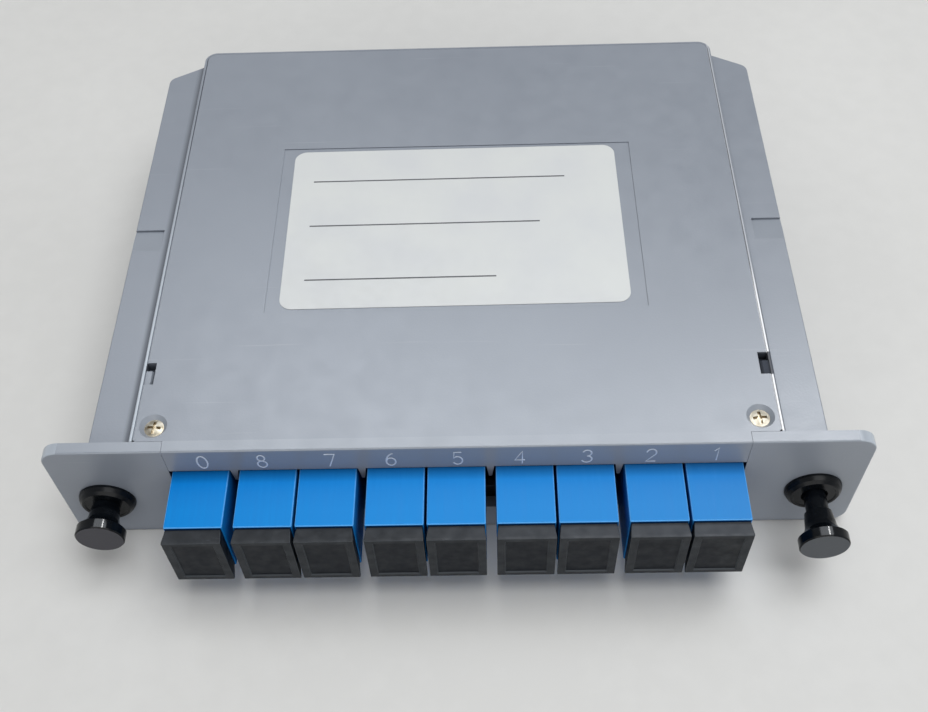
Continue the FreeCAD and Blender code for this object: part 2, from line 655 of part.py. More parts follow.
def connector(x):
    """Plug connector: hollow nose, waisted grip and tapered boot."""
    width = PORT_WIDTH - 2.0 * PLUG_CLEAR
    height = PORT_HEIGHT - 2.0 * PLUG_CLEAR
    body = block(x, ADAPTER_Z, width, height, PLUG_FRONT, PLUG_REAR)
    body = body.makeFillet(ADAPTER_EDGE, straight_edges(body, Y_AXIS))
    key = block(x + width / 2.0, ADAPTER_Z, 2.0 * (KEYWAY_DEPTH - PLUG_CLEAR),
                KEYWAY_WIDTH - 2.0 * PLUG_CLEAR, PLUG_FRONT, ADAPTER_REAR)
    boot = Part.makeCone(BOOT_FRONT_DIAMETER / 2.0, BOOT_REAR_DIAMETER / 2.0, BOOT_LENGTH,
                         FreeCAD.Vector(x, PLUG_REAR, ADAPTER_Z), Y_AXIS)
    plug = body.multiFuse([key, boot])
    grip_rear = PLUG_REAR - PLUG_GRIP_INSET
    grip_front = grip_rear - PLUG_GRIP_LENGTH
    nose = rod(x, ADAPTER_Z, HOLDER_DIAMETER / 2.0 + PLUG_BORE_CLEAR,
               PLUG_FRONT, PLUG_FRONT + PLUG_BORE_DEPTH)
    cuts = [nose]
    for side in (1.0, -1.0):
        cuts.append(block(x, ADAPTER_Z + side * height / 2.0, width, 2.0 * PLUG_GRIP_INSET,
                          grip_front, grip_rear))
        hook_room = ARM_LENGTH + PLUG_GRIP_INSET
        cuts.append(block(x, ADAPTER_Z + side * height / 2.0, ARM_WIDTH + 2.0 * ARM_GAP,
                          2.0 * (HOOK_RISE + PLUG_CLEAR), PLUG_FRONT, PLUG_FRONT + hook_room))
    return plug.cut(cuts).removeSplitter()


def frustum(x, sizes, y0, y1):
    """Block along Y between two rectangles, each given by its width and height."""
    sections = []
    for (width, height), y in zip(sizes, (y0, y1)):
        corners = [
            FreeCAD.Vector(x - width / 2.0, y, ADAPTER_Z - height / 2.0),
            FreeCAD.Vector(x + width / 2.0, y, ADAPTER_Z - height / 2.0),
            FreeCAD.Vector(x + width / 2.0, y, ADAPTER_Z + height / 2.0),
            FreeCAD.Vector(x - width / 2.0, y, ADAPTER_Z + height / 2.0),
        ]
        sections.append(Part.makePolygon(corners + corners[:1]))
    return Part.makeLoft(sections, True, True)


def cap_head(x):
    """Outside of a dust cap: a block that tapers towards the adapter."""
    rear = ADAPTER_FRONT - CAP_GAP
    front = rear - CAP_LENGTH
    taper_front = rear - CAP_TAPER_LENGTH
    sizes = ((ADAPTER_WIDTH, CAP_HEIGHT),
             (ADAPTER_WIDTH - 2.0 * CAP_TAPER_INSET, CAP_HEIGHT - 2.0 * CAP_TAPER_INSET))
    taper = frustum(x, sizes, taper_front, rear)
    head = block(x, ADAPTER_Z, ADAPTER_WIDTH, CAP_HEIGHT, front, taper_front).fuse(taper)
    long_edges = [edge for edge in head.Edges if edge.BoundBox.YLength > 2.0 * CAP_EDGE]
    return head.makeFillet(CAP_EDGE, long_edges + edges_at(head, "Y", front))


def dust_cap(x):
    """Dust cap: tapered head with a recessed face and a hollow plug in the port."""
    rear = ADAPTER_FRONT - CAP_GAP
    front = rear - CAP_LENGTH
    head = cap_head(x)
    recess_width = ADAPTER_WIDTH - 2.0 * CAP_SIDE_BORDER
    recess_height = CAP_HEIGHT - 2.0 * CAP_END_BORDER
    sizes = ((recess_width, recess_height),
             (recess_width - 2.0 * CAP_RECESS_SLOPE, recess_height - 2.0 * CAP_RECESS_SLOPE))
    recess = frustum(x, sizes, front, front + CAP_RECESS_DEPTH)
    plug_height = PORT_HEIGHT - 2.0 * CAP_PLUG_CLEAR
    plug = block(x, ADAPTER_Z, PORT_WIDTH - 2.0 * CAP_PLUG_CLEAR, plug_height,
                 rear - CAP_EDGE, CAP_PLUG_END)
    bore = rod(x, ADAPTER_Z, HOLDER_DIAMETER / 2.0 + CAP_BORE_CLEAR, ADAPTER_FRONT, CAP_PLUG_END)
    cuts = [recess, bore]
    groove_depth = HOOK_RISE + CAP_GROOVE_CLEAR - CAP_PLUG_CLEAR
    for side in (1.0, -1.0):
        cuts.append(block(x, ADAPTER_Z + side * plug_height / 2.0, ARM_WIDTH + 2.0 * ARM_GAP,
                          2.0 * groove_depth, ADAPTER_FRONT + ADAPTER_EDGE, CAP_PLUG_END))
    return head.fuse(plug).cut(cuts).removeSplitter()


def rounded_path(corners, radius):
    """Wire through corner points, with each corner rounded by a tangent arc."""
    edges = []
    start = corners[0]
    for before, corner, after in zip(corners, corners[1:], corners[2:]):
        incoming = (before - corner).normalize()
        outgoing = (after - corner).normalize()
        half_turn = (math.pi - incoming.getAngle(outgoing)) / 2.0
        bend = radius(corner)
        inset = bend * math.tan(half_turn)
        arc_start = corner + incoming * inset
        arc_end = corner + outgoing * inset
        bisector = (incoming + outgoing).normalize()
        arc_middle = corner + bisector * (bend / math.cos(half_turn) - bend)
        if (arc_start - start).Length > 1e-5:
            edges.append(Part.LineSegment(start, arc_start).toShape())
        edges.append(Part.Arc(arc_start, arc_middle, arc_end).toShape())
        start = arc_end
    edges.append(Part.LineSegment(start, corners[-1]).toShape())
    return Part.Wire(edges)


def fibre(corners):
    """Round fibre along corner points: wide bends at the loop, one radius elsewhere."""
    loop_end = LOOP_START + FIBRE_LOOP

    def bend(corner):
        """Radius of the bend at a corner."""
        at_loop = abs(corner.x - loop_end) < 1e-6
        return FIBRE_LOOP if at_loop else FIBRE_BEND

    path = rounded_path(corners, bend)
    first = path.Edges[0]
    direction = first.tangentAt(first.FirstParameter)
    ring = Part.Circle(corners[0], direction, FIBRE_DIAMETER / 2.0).toShape()
    tube = path.makePipeShell([Part.Wire(ring)], True, True)
    ideal = math.pi * (FIBRE_DIAMETER / 2.0) ** 2 * path.Length
    print("fibre length %.2f, volume ratio %.4f, smallest bend %.1f"
          % (path.Length, tube.Volume / ideal, FIBRE_BEND))
    return tube


def input_fibre(x):
    """Fibre from the input connector to the splitter package's left end."""
    left, _ = case_ends()
    corners = [
        FreeCAD.Vector(left, CASE_Y, ADAPTER_Z),
        FreeCAD.Vector(x, CASE_Y, ADAPTER_Z),
        FreeCAD.Vector(x, BOOT_REAR, ADAPTER_Z),
    ]
    return fibre(corners)


def output_fibre(number, x):
    """Fibre from the splitter package's right end to an output connector."""
    _, right = case_ends()
    level = fibre_level(number)
    corners = [FreeCAD.Vector(right, CASE_Y, level)]
    return_y = CASE_Y - 2.0 * FIBRE_LOOP
    if x - FIBRE_BEND < right:
        corners.append(FreeCAD.Vector(LOOP_START + FIBRE_LOOP, CASE_Y, level))
        corners.append(FreeCAD.Vector(LOOP_START + FIBRE_LOOP, return_y, level))
        corners.append(FreeCAD.Vector(x, return_y, level))
    else:
        corners.append(FreeCAD.Vector(x, CASE_Y, level))
    slope_end = BOOT_REAR + FIBRE_LEAD
    corners.append(FreeCAD.Vector(x, slope_end + FIBRE_SLOPE, level))
    corners.append(FreeCAD.Vector(x, slope_end, ADAPTER_Z))
    corners.append(FreeCAD.Vector(x, BOOT_REAR, ADAPTER_Z))
    return fibre(corners)


def splitter_package():
    """Case, chip, fibre arrays and end bungs of the splitter, by node name."""
    left, right = case_ends()
    middle = (left + right) / 2.0
    outer = case_envelope(0.0)
    outer = outer.makeFillet(CASE_EDGE, straight_edges(outer, FreeCAD.Vector(1.0, 0.0, 0.0)))
    inner_y = CASE_THICK / 2.0 - CASE_WALL
    inner_z = CASE_HEIGHT / 2.0 - CASE_WALL
    bottom = ADAPTER_Z - inner_z

    def filling(x0, x1):
        """Block that fills the inside of the case between two X values."""
        return box(x0, x1, CASE_Y - inner_y, CASE_Y + inner_y, bottom, ADAPTER_Z + inner_z)

    def glass(x0, x1):
        """Glass block on the floor of the case between two X values."""
        return box(x0, x1, CASE_Y - CHIP_WIDTH / 2.0, CASE_Y + CHIP_WIDTH / 2.0,
                   bottom, bottom + CHIP_HEIGHT)

    chip_left = middle - CHIP_LENGTH / 2.0
    chip_right = middle + CHIP_LENGTH / 2.0
    return {
        "splitter_case": outer.cut(filling(left, right)),
        "waveguide_chip": glass(chip_left, chip_right),
        "fibre_array_in": glass(chip_left - ARRAY_LENGTH, chip_left),
        "fibre_array_out": glass(chip_right, chip_right + ARRAY_LENGTH),
        "end_bung_in": filling(left, chip_left - ARRAY_LENGTH),
        "end_bung_out": filling(chip_right + ARRAY_LENGTH, right),
    }


def grommet(x):
    """Latch grommet: rounded collar in front of the panel, split legs behind it."""
    shaft_way = SHAFT_DIAMETER / 2.0 + SHAFT_CLEAR
    collar = COLLAR_DIAMETER / 2.0
    leg = LEG_DIAMETER / 2.0
    root = ROOT_DIAMETER / 2.0
    front = -COLLAR_THICK
    dish = front + COLLAR_DISH
    rear = PANEL_THICK + LEG_LENGTH
    face = COLLAR_FACE / 2.0
    shoulder = (collar + face) / 2.0 + COLLAR_BULGE
    shoulder_y = (front - COLLAR_SKIRT) / 2.0 - COLLAR_BULGE
    body = turned(x, PANEL_FRONT, LATCH_Z, outline([
        (COLLAR_MOUTH / 2.0, dish),
        (face - COLLAR_RIM - COLLAR_DISH, dish),
        (face - COLLAR_RIM, front),
        (face, front),
        (shoulder, shoulder_y),
        (collar, -COLLAR_SKIRT),
        (collar, 0.0),
        (root, 0.0),
        (root, PANEL_THICK),
        (leg, PANEL_THICK),
        (leg, rear - LEG_TAPER),
        (leg - LEG_TAPER / 2.0, rear),
        (shaft_way, rear),
        (shaft_way, dish + COLLAR_MOUTH_DEPTH),
        (COLLAR_MOUTH / 2.0, dish + COLLAR_MOUTH_DEPTH),
    ]))
    slits = [
        box(x - LEG_SLIT / 2.0, x + LEG_SLIT / 2.0, 0.0, LEG_LENGTH, LATCH_Z - leg, LATCH_Z + leg),
        box(x - leg, x + leg, 0.0, LEG_LENGTH, LATCH_Z - LEG_SLIT / 2.0, LATCH_Z + LEG_SLIT / 2.0),
    ]
    return body.cut(slits)


def plunger(x, pulled):
    """Latch plunger: knob, flared neck and shaft, pulled out by a distance."""
    knob = KNOB_DIAMETER / 2.0
    neck = NECK_DIAMETER / 2.0
    swell = neck + NECK_SWELL
    shaft = SHAFT_DIAMETER / 2.0
    flare_start = 2.0 * KNOB_BEVEL + KNOB_BAND
    flare_end = flare_start + KNOB_FLARE
    shaft_end = KNOB_LENGTH + SHAFT_LENGTH
    corners = [
        (swell, flare_end),
        (neck, KNOB_LENGTH),
        (shaft, KNOB_LENGTH),
        (shaft, shaft_end - SHAFT_TIP),
        (shaft - SHAFT_TIP / 2.0, shaft_end),
        (0.0, shaft_end),
        (0.0, 0.0),
        (knob - KNOB_BEVEL, 0.0),
        (knob, KNOB_BEVEL),
        (knob, KNOB_BEVEL + KNOB_BAND),
        (knob - KNOB_BEVEL, flare_start),
    ]
    edges = outline(corners)[:-1]
    spread = knob - KNOB_BEVEL - swell
    flare_radius = (KNOB_FLARE ** 2 + spread ** 2) / (2.0 * spread)
    half_angle = math.asin(KNOB_FLARE / flare_radius) / 2.0
    edges.append(Part.Arc(
        FreeCAD.Vector(knob - KNOB_BEVEL, flare_start, 0.0),
        FreeCAD.Vector(swell + flare_radius * (1.0 - math.cos(half_angle)),
                       flare_end - flare_radius * math.sin(half_angle), 0.0),
        FreeCAD.Vector(swell, flare_end, 0.0)).toShape())
    front = PANEL_FRONT - COLLAR_THICK + COLLAR_DISH - NECK_GAP - KNOB_LENGTH - pulled
    return turned(x, front, LATCH_Z, edges)


def build():
    """All nodes of the cassette by name."""
    places = adapter_places()
    nodes = {
        "base_shell": base_shell(),
        "top_cover": top_cover(),
        "cover_screws": Part.makeCompound([screw(side) for side in (-1.0, 1.0)]),
        "label": label(),
        "alignment_sleeves": Part.makeCompound([sleeve(x) for _, x in places]),
        "ferrules": Part.makeCompound([ferrule(x) for _, x in places]),
        "latch_grommet_left": grommet(-LATCH_X),
        "latch_grommet_right": grommet(LATCH_X),
        "latch_plunger_left": plunger(-LATCH_X, 0.0),
        "latch_plunger_right": plunger(LATCH_X, LATCH_TRAVEL),
    }
    nodes.update(splitter_package())
    for name, x in places:
        nodes["adapter_" + name] = adapter(x)
        nodes["dust_cap_" + name] = dust_cap(x)
        nodes["connector_" + name] = connector(x)
        nodes["fibre_" + name] = input_fibre(x) if name == "in" else output_fibre(int(name), x)
    return nodes


os.makedirs("parts", exist_ok=True)
for node, shape in build().items():
    shape.exportStep("parts/%s.step" % node)
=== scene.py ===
"""Finishes, numerals, label print and studio for a slide-in fibre splitter cassette.

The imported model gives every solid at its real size. This script dresses each one in a
procedural finish, adds the printed and embossed detail that rides on the housing, and
sets up a plain pale studio. Lengths are in metres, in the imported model's own frame: +X
along the front panel, +Y to the back, +Z up.
"""

import json
import logging
import math
from dataclasses import dataclass
from enum import Enum

import bpy
from mathutils import Euler, Matrix, Vector

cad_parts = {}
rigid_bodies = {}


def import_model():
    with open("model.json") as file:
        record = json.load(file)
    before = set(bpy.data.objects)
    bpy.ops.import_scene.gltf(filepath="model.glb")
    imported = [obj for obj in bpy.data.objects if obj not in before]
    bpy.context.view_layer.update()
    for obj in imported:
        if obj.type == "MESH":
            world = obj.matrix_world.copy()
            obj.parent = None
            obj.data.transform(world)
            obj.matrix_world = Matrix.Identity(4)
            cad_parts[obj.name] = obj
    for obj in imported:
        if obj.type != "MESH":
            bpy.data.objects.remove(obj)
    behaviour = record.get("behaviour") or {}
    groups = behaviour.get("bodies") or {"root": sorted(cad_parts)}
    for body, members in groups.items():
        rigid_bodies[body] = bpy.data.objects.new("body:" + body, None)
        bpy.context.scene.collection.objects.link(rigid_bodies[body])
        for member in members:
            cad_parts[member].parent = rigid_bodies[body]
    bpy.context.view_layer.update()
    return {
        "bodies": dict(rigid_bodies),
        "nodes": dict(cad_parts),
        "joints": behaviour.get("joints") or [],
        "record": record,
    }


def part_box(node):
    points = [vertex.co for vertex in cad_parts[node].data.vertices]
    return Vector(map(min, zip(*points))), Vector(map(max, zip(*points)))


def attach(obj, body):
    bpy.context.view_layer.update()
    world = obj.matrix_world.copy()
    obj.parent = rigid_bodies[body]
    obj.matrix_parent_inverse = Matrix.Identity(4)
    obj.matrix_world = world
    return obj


LOG = logging.getLogger("cassette")
MM = 0.001
OUTPUTS = 8

Colour = tuple[float, float, float, float]
Socket = bpy.types.NodeSocket


class Body(str, Enum):
    """Rigid bodies that added pieces ride on."""

    CASSETTE = "cassette"


class Side(str, Enum):
    """The two ends of the front panel."""

    LEFT = "left"
    RIGHT = "right"


class Rule(str, Enum):
    """Ways to combine values."""

    PRODUCT = "MULTIPLY"
    LARGEST = "MAXIMUM"


def port_names() -> list[str]:
    """Port names from left to right: the input, then the outputs in falling order."""
    return ["in"] + [str(number) for number in range(OUTPUTS, 0, -1)]


def srgb(red: int, green: int, blue: int) -> Colour:
    """Convert an 8-bit sRGB colour to linear RGBA.

    Args:
        red: Red from 0 to 255.
        green: Green from 0 to 255.
        blue: Blue from 0 to 255.

    Returns:
        The linear colour with full alpha.
    """
    linear = []
    for channel in (red, green, blue):
        value = channel / 255.0
        linear.append(value / 12.92 if value <= 0.04045 else ((value + 0.055) / 1.055) ** 2.4)
    return (linear[0], linear[1], linear[2], 1.0)


class Graph:
    """A material's node tree, with short calls for the nodes that the finishes share."""

    NOISE_BAND = (0.3, 0.7)
    EDGE_TURN = (0.86, 0.985)
    OPENNESS = (0.15, 0.75)
    OCCLUSION_SAMPLES = 8

    def __init__(self, name: str) -> None:
        """Start a material with a Principled shader.

        Args:
            name: Name of the new material.
        """
        self.material = bpy.data.materials.new(name)
        self.material.use_nodes = True
        self.tree = self.material.node_tree
        self.shader = self.tree.nodes["Principled BSDF"]
        coordinates = self.tree.nodes.new("ShaderNodeTexCoord")
        self.place = coordinates.outputs["Object"]
        self.facing = coordinates.outputs["Normal"]

    def set(self, **values: object) -> None:
        """Set constant inputs of the shader, with underscores for spaces in their names.

        Args:
            **values: Input name to value.
        """
        for name, value in values.items():
            self.shader.inputs[name.replace("_", " ")].default_value = value

    def link(self, source: Socket, name: str) -> None:
        """Link a socket to a named input of the shader."""
        self.tree.links.new(source, self.shader.inputs[name])

    def feed(self, value: Socket | Colour | float, target: Socket) -> None:
        """Feed a node's input from a socket or a constant.

        Args:
            value: The socket, colour or number.
            target: The input.
        """
        if isinstance(value, Socket):
            self.tree.links.new(value, target)
        else:
            target.default_value = value

    def stretch(self, x: float, y: float, z: float) -> Socket:
        """Object coordinates scaled along each axis.

        Args:
            x: Scale along X.
            y: Scale along Y.
            z: Scale along Z.

        Returns:
            The scaled vector.
        """
        mapping = self.tree.nodes.new("ShaderNodeMapping")
        mapping.inputs["Scale"].default_value = (x, y, z)
        self.tree.links.new(self.place, mapping.inputs["Vector"])
        return mapping.outputs["Vector"]

    def noise(self, scale: float, detail: float = 2.0, vector: Socket | None = None) -> Socket:
        """Noise from about 0 to 1 over the object.

        Args:
            scale: Cells per metre.
            detail: Octaves.
            vector: Coordinates, or None for plain object coordinates.

        Returns:
            The noise value.
        """
        noise = self.tree.nodes.new("ShaderNodeTexNoise")
        noise.inputs["Scale"].default_value = scale
        noise.inputs["Detail"].default_value = detail
        self.tree.links.new(vector or self.place, noise.inputs["Vector"])
        return noise.outputs["Fac"]

    def ramp(self, value: Socket, low: float, high: float, start: float = 0.0, end: float = 1.0) -> Socket:
        """Map a value from one range to another, held at both ends.

        Args:
            value: The value to map.
            low: Input that gives start.
            high: Input that gives end.
            start: Output at low.
            end: Output at high.

        Returns:
            The mapped value.
        """
        ramp = self.tree.nodes.new("ShaderNodeMapRange")
        ramp.inputs["From Min"].default_value = low
        ramp.inputs["From Max"].default_value = high
        ramp.inputs["To Min"].default_value = start
        ramp.inputs["To Max"].default_value = end
        self.tree.links.new(value, ramp.inputs["Value"])
        return ramp.outputs["Result"]

    def span(self, value: Socket, low: float, high: float, soft: float) -> Socket:
        """Mask of a range of a value, with soft ends outside it.

        Args:
            value: The value.
            low: Start of the range.
            high: End of the range.
            soft: Width over which the mask fades beyond each end.

        Returns:
            The mask, 1 within the range.
        """
        return self.both(self.ramp(value, low - soft, low), self.ramp(value, high, high + soft, 1.0, 0.0))

    def mottle(self, scale: float, detail: float, lowest: float, highest: float) -> Socket:
        """A value that wanders between two limits in soft patches.

        Args:
            scale: Cells per metre.
            detail: Octaves.
            lowest: Least value.
            highest: Greatest value.

        Returns:
            The value.
        """
        return self.ramp(self.noise(scale, detail), *self.NOISE_BAND, lowest, highest)

    def blend(self, share: Socket, first: Socket | Colour, second: Socket | Colour) -> Socket:
        """Blend two colours.

        Args:
            share: 0 gives the first colour and 1 the second.
            first: A colour, or a socket that carries one.
            second: A colour, or a socket that carries one.

        Returns:
            The blended colour.
        """
        mix = self.tree.nodes.new("ShaderNodeMix")
        mix.data_type = "RGBA"
        self.tree.links.new(share, mix.inputs[0])
        self.feed(first, mix.inputs[6])
        self.feed(second, mix.inputs[7])
        return mix.outputs[2]

    def sum(self, first: Socket, second: Socket, weight: float = 1.0) -> Socket:
        """Add a weighted value to another.

        Args:
            first: The first value.
            second: The second value.
            weight: Weight of the second value.

        Returns:
            The sum.
        """
        node = self.tree.nodes.new("ShaderNodeMath")
        node.operation = "MULTIPLY_ADD"
        self.tree.links.new(second, node.inputs[0])
        node.inputs[1].default_value = weight
        self.tree.links.new(first, node.inputs[2])
        return node.outputs[0]

    def combine(self, rule: Rule, first: Socket, *others: Socket | float) -> Socket:
        """Combine values two at a time, in order.

        Args:
            rule: How two values are combined.
            first: The first value.
            *others: The other values, or numbers.

        Returns:
            The combined value.
        """
        result = first
        for other in others:
            node = self.tree.nodes.new("ShaderNodeMath")
            node.operation = rule.value
            self.tree.links.new(result, node.inputs[0])
            self.feed(other, node.inputs[1])
            result = node.outputs[0]
        return result

    def both(self, first: Socket, *others: Socket | float) -> Socket:
        """Mask of the places that lie in every mask, weakened by any numbers."""
        return self.combine(Rule.PRODUCT, first, *others)

    def either(self, first: Socket, *others: Socket | float) -> Socket:
        """Mask of the places that lie in any mask."""
        return self.combine(Rule.LARGEST, first, *others)

    def parts(self, vector: Socket, signed: bool = True) -> list[Socket]:
        """Split a vector.

        Args:
            vector: The vector.
            signed: Whether the components keep their signs.

        Returns:
            Its X, Y and Z components.
        """
        if not signed:
            size = self.tree.nodes.new("ShaderNodeVectorMath")
            size.operation = "ABSOLUTE"
            self.tree.links.new(vector, size.inputs[0])
            vector = size.outputs[0]
        split = self.tree.nodes.new("ShaderNodeSeparateXYZ")
        self.tree.links.new(vector, split.inputs[0])
        return list(split.outputs)

    def edges(self, share: float) -> Socket:
        """Mask of the rounded edges, where the surface turns away from all three axes.

        Args:
            share: Value on the edges.

        Returns:
            The mask, 0 on the flats.
        """
        nearest = self.either(*self.parts(self.facing, signed=False))
        return self.ramp(nearest, *self.EDGE_TURN, share, 0.0)

    def crevices(self, reach: float, share: float) -> Socket:
        """Mask of the places that close neighbours keep in shade.

        Args:
            reach: How far off a neighbour still counts, in metres.
            share: Value in the deepest places.

        Returns:
            The mask, 0 in the open.
        """
        node = self.tree.nodes.new("ShaderNodeAmbientOcclusion")
        node.samples = self.OCCLUSION_SAMPLES
        node.inputs["Distance"].default_value = reach
        return self.ramp(node.outputs["AO"], *self.OPENNESS, share, 0.0)

    def bump(self, height: Socket, depth: float, strength: float = 1.0) -> None:
        """Bump the shader's normal.

        Args:
            height: Height from 0 to 1.
            depth: Height of the relief in metres.
            strength: Share of the relief that shows.
        """
        bump = self.tree.nodes.new("ShaderNodeBump")
        bump.inputs["Distance"].default_value = depth
        bump.inputs["Strength"].default_value = strength
        self.tree.links.new(height, bump.inputs["Height"])
        self.link(bump.outputs["Normal"], "Normal")


@dataclass
class HousingMasks:
    """Masks of the places on the housing that differ from its plain faces.

    Distances across are measured from the cover's side edges, and depths from its top.
    """

    graph: Graph
    panel_back: float = 0.1 * MM
    top_band: float = 0.2 * MM
    left_rim_width: float = 0.12 * MM
    left_rim_fade: tuple = (15.0 * MM, 75.0 * MM)
    right_rim_fade: tuple = (27.0 * MM, 35.0 * MM)
    right_rim_rest: float = 0.28
    window: tuple = (10.9 * MM, 15.2 * MM)
    # The snap tab and wall in the right window are painted dark as shade.
    tab_width: float = 1.65 * MM
    tab_depth: float = 0.35 * MM
    tab_share: float = 0.95
    window_wall: tuple = (0.9 * MM, 0.6 * MM)
    window_wall_share: float = 0.9
    foot_depth: float = 1.9 * MM
    foot_gap: float = 0.5 * MM
    left_foot: tuple = (1.1 * MM, 2.4 * MM)
    left_foot_share: float = 0.8
    right_foot: tuple = (0.7 * MM, 1.3 * MM)
    right_foot_share: float = 0.4
    corner_share: float = 0.6
    recess_inset: float = 5.0 * MM
    recess_depth: float = 0.7 * MM
    recess_shade: float = 0.7
    top_edge_share: float = 0.5
    right_face_share: float = 0.4
    notch_share: float = 0.45
    fine: float = 0.02 * MM

    def __post_init__(self) -> None:
        """Split the coordinates that every mask needs."""
        self.low, self.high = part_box("top_cover")
        self.x, self.y, self.z = self.graph.parts(self.graph.place)
        self.across, self.ahead, self.up = self.graph.parts(self.graph.facing)
        self.turned, _, _ = self.graph.parts(self.graph.facing, signed=False)

    def wall_top(self) -> Socket:
        """Mask of the top of the side walls, behind the front panel.

        Returns:
            The mask.
        """
        upper = self.graph.ramp(self.z, self.high.z - self.top_band - 0.1 * MM, self.high.z - self.top_band)
        return self.graph.both(upper, self.graph.ramp(self.y, self.panel_back, self.panel_back + 0.1 * MM))

    def right_rim(self, near: float, far: float) -> Socket:
        """Mask of a strip along the top of the right-hand wall.

        Args:
            near: Where the strip starts, outwards from the cover's edge.
            far: Where it ends.

        Returns:
            The mask, which fades towards the back.
        """
        strip = self.graph.span(self.x, self.high.x + near, self.high.x + far, self.fine)
        along = self.graph.ramp(self.y, *self.right_rim_fade, 1.0, self.right_rim_rest)
        return self.graph.both(strip, along, self.wall_top())

    def left_rim(self) -> Socket:
        """Mask of the top of the left-hand wall, where a highlight is painted.

        Returns:
            The mask, which fades towards the back.
        """
        edge = self.low.x + self.left_rim_width
        strip = self.graph.ramp(self.x, edge, edge + 0.03 * MM, 1.0, 0.0)
        along = self.graph.ramp(self.y, *self.left_rim_fade, 1.0, 0.0)
        return self.graph.both(strip, along, self.wall_top())

    def window_shade(self) -> Socket:
        """Mask of the snap tab and wall at the cover's right window, where shade is painted.

        Returns:
            The mask.
        """
        tab = self.graph.both(
            self.graph.span(self.x, self.high.x - self.tab_width, self.high.x - self.fine, self.fine),
            self.graph.ramp(self.z, self.high.z - self.tab_depth,
                            self.high.z - self.tab_depth + 0.05 * MM, self.tab_share, 0.0))
        deepest, upper = self.window_wall
        wall = self.graph.both(
            self.graph.ramp(self.x, self.high.x, self.high.x + self.fine),
            self.graph.ramp(self.z, self.high.z - deepest, self.high.z - upper,
                            0.0, self.window_wall_share))
        beside = self.graph.span(self.y, *self.window, 0.2 * MM)
        return self.graph.both(self.graph.either(tab, wall), beside)

    def foot(self) -> Socket:
        """Mask of the shaded line on the wings, wider on the left, at the foot of each side wall.

        Returns:
            The mask.
        """
        left_wall = self.low.x - self.foot_gap
        right_wall = self.high.x + self.foot_gap
        narrow, wide = self.left_foot
        left = self.graph.both(
            self.graph.ramp(self.x, left_wall - 0.06 * MM, left_wall, 1.0, 0.0),
            self.graph.ramp(self.x, self.low.x - wide, self.low.x - narrow, 0.0, self.left_foot_share))
        narrow, wide = self.right_foot
        right = self.graph.both(
            self.graph.ramp(self.x, right_wall, right_wall + 0.06 * MM),
            self.graph.ramp(self.x, self.high.x + narrow, self.high.x + wide, self.right_foot_share, 0.0))
        depth = self.high.z - self.foot_depth
        wing = self.graph.both(self.graph.ramp(self.z, depth, depth + 0.2 * MM, 1.0, 0.0),
                               self.graph.ramp(self.y, 0.0, 0.2 * MM))
        return self.graph.both(self.graph.either(left, right), wing)

    def panel(self) -> Socket:
        """Mask of the front panel, ahead of its back face."""
        return self.graph.ramp(self.y, self.panel_back - 0.05 * MM, self.panel_back, 1.0, 0.0)

    def corner(self) -> Socket:
        """Mask of the front panel's round upper corners, where light is painted.

        Returns:
            The mask, stronger down the sides.
        """
        upper = self.graph.both(self.graph.ramp(self.up, 0.2, 0.6),
                                self.graph.ramp(self.turned, 0.03, 0.06))
        side = self.graph.ramp(self.turned, 0.15, 0.6, self.corner_share, 1.0)
        return self.graph.both(side, self.panel(), upper)

    def recess_step(self, side: Side) -> Socket:
        """Mask of a side step of the label recess.

        Args:
            side: The step's side. The left one catches the light and the right one is in shade.

        Returns:
            The mask.
        """
        if side is Side.LEFT:
            wall = self.graph.both(self.graph.ramp(self.across, 0.3, 0.6),
                                   self.graph.ramp(self.x, 0.0, MM, 1.0, 0.0))
        else:
            wall = self.graph.both(self.graph.ramp(self.across, -0.6, -0.3, self.recess_shade, 0.0),
                                   self.graph.ramp(self.x, 0.0, MM))
        depth = self.high.z - self.recess_depth
        inner = self.graph.both(
            self.graph.span(self.x, self.low.x + self.recess_inset, self.high.x - self.recess_inset, MM),
            self.graph.ramp(self.z, depth - 0.1 * MM, depth))
        return self.graph.both(wall, inner)

    def front(self) -> Socket:
        """Mask of the panel's top edge, with a painted highlight that fades towards the right, and of its
        right-hand face, painted paler where the light falls.

        Returns:
            The mask.
        """
        top = self.graph.both(self.graph.ramp(self.x, -self.high.x, self.high.x, self.top_edge_share, 0.0),
                              self.panel(), self.graph.ramp(self.up, 0.9, 0.98))
        face = self.graph.both(self.graph.ramp(self.ahead, -0.95, -0.8, 1.0, 0.0),
                               self.graph.ramp(self.x, 0.0, self.high.x, 0.0, self.right_face_share))
        return self.graph.either(top, face)

    def notch(self) -> Socket:
        """Mask of the gentle ramps in the wings' notches, where light is painted."""
        return self.graph.both(self.graph.span(self.ahead, 0.06, 0.10, 0.02), self.notch_share)


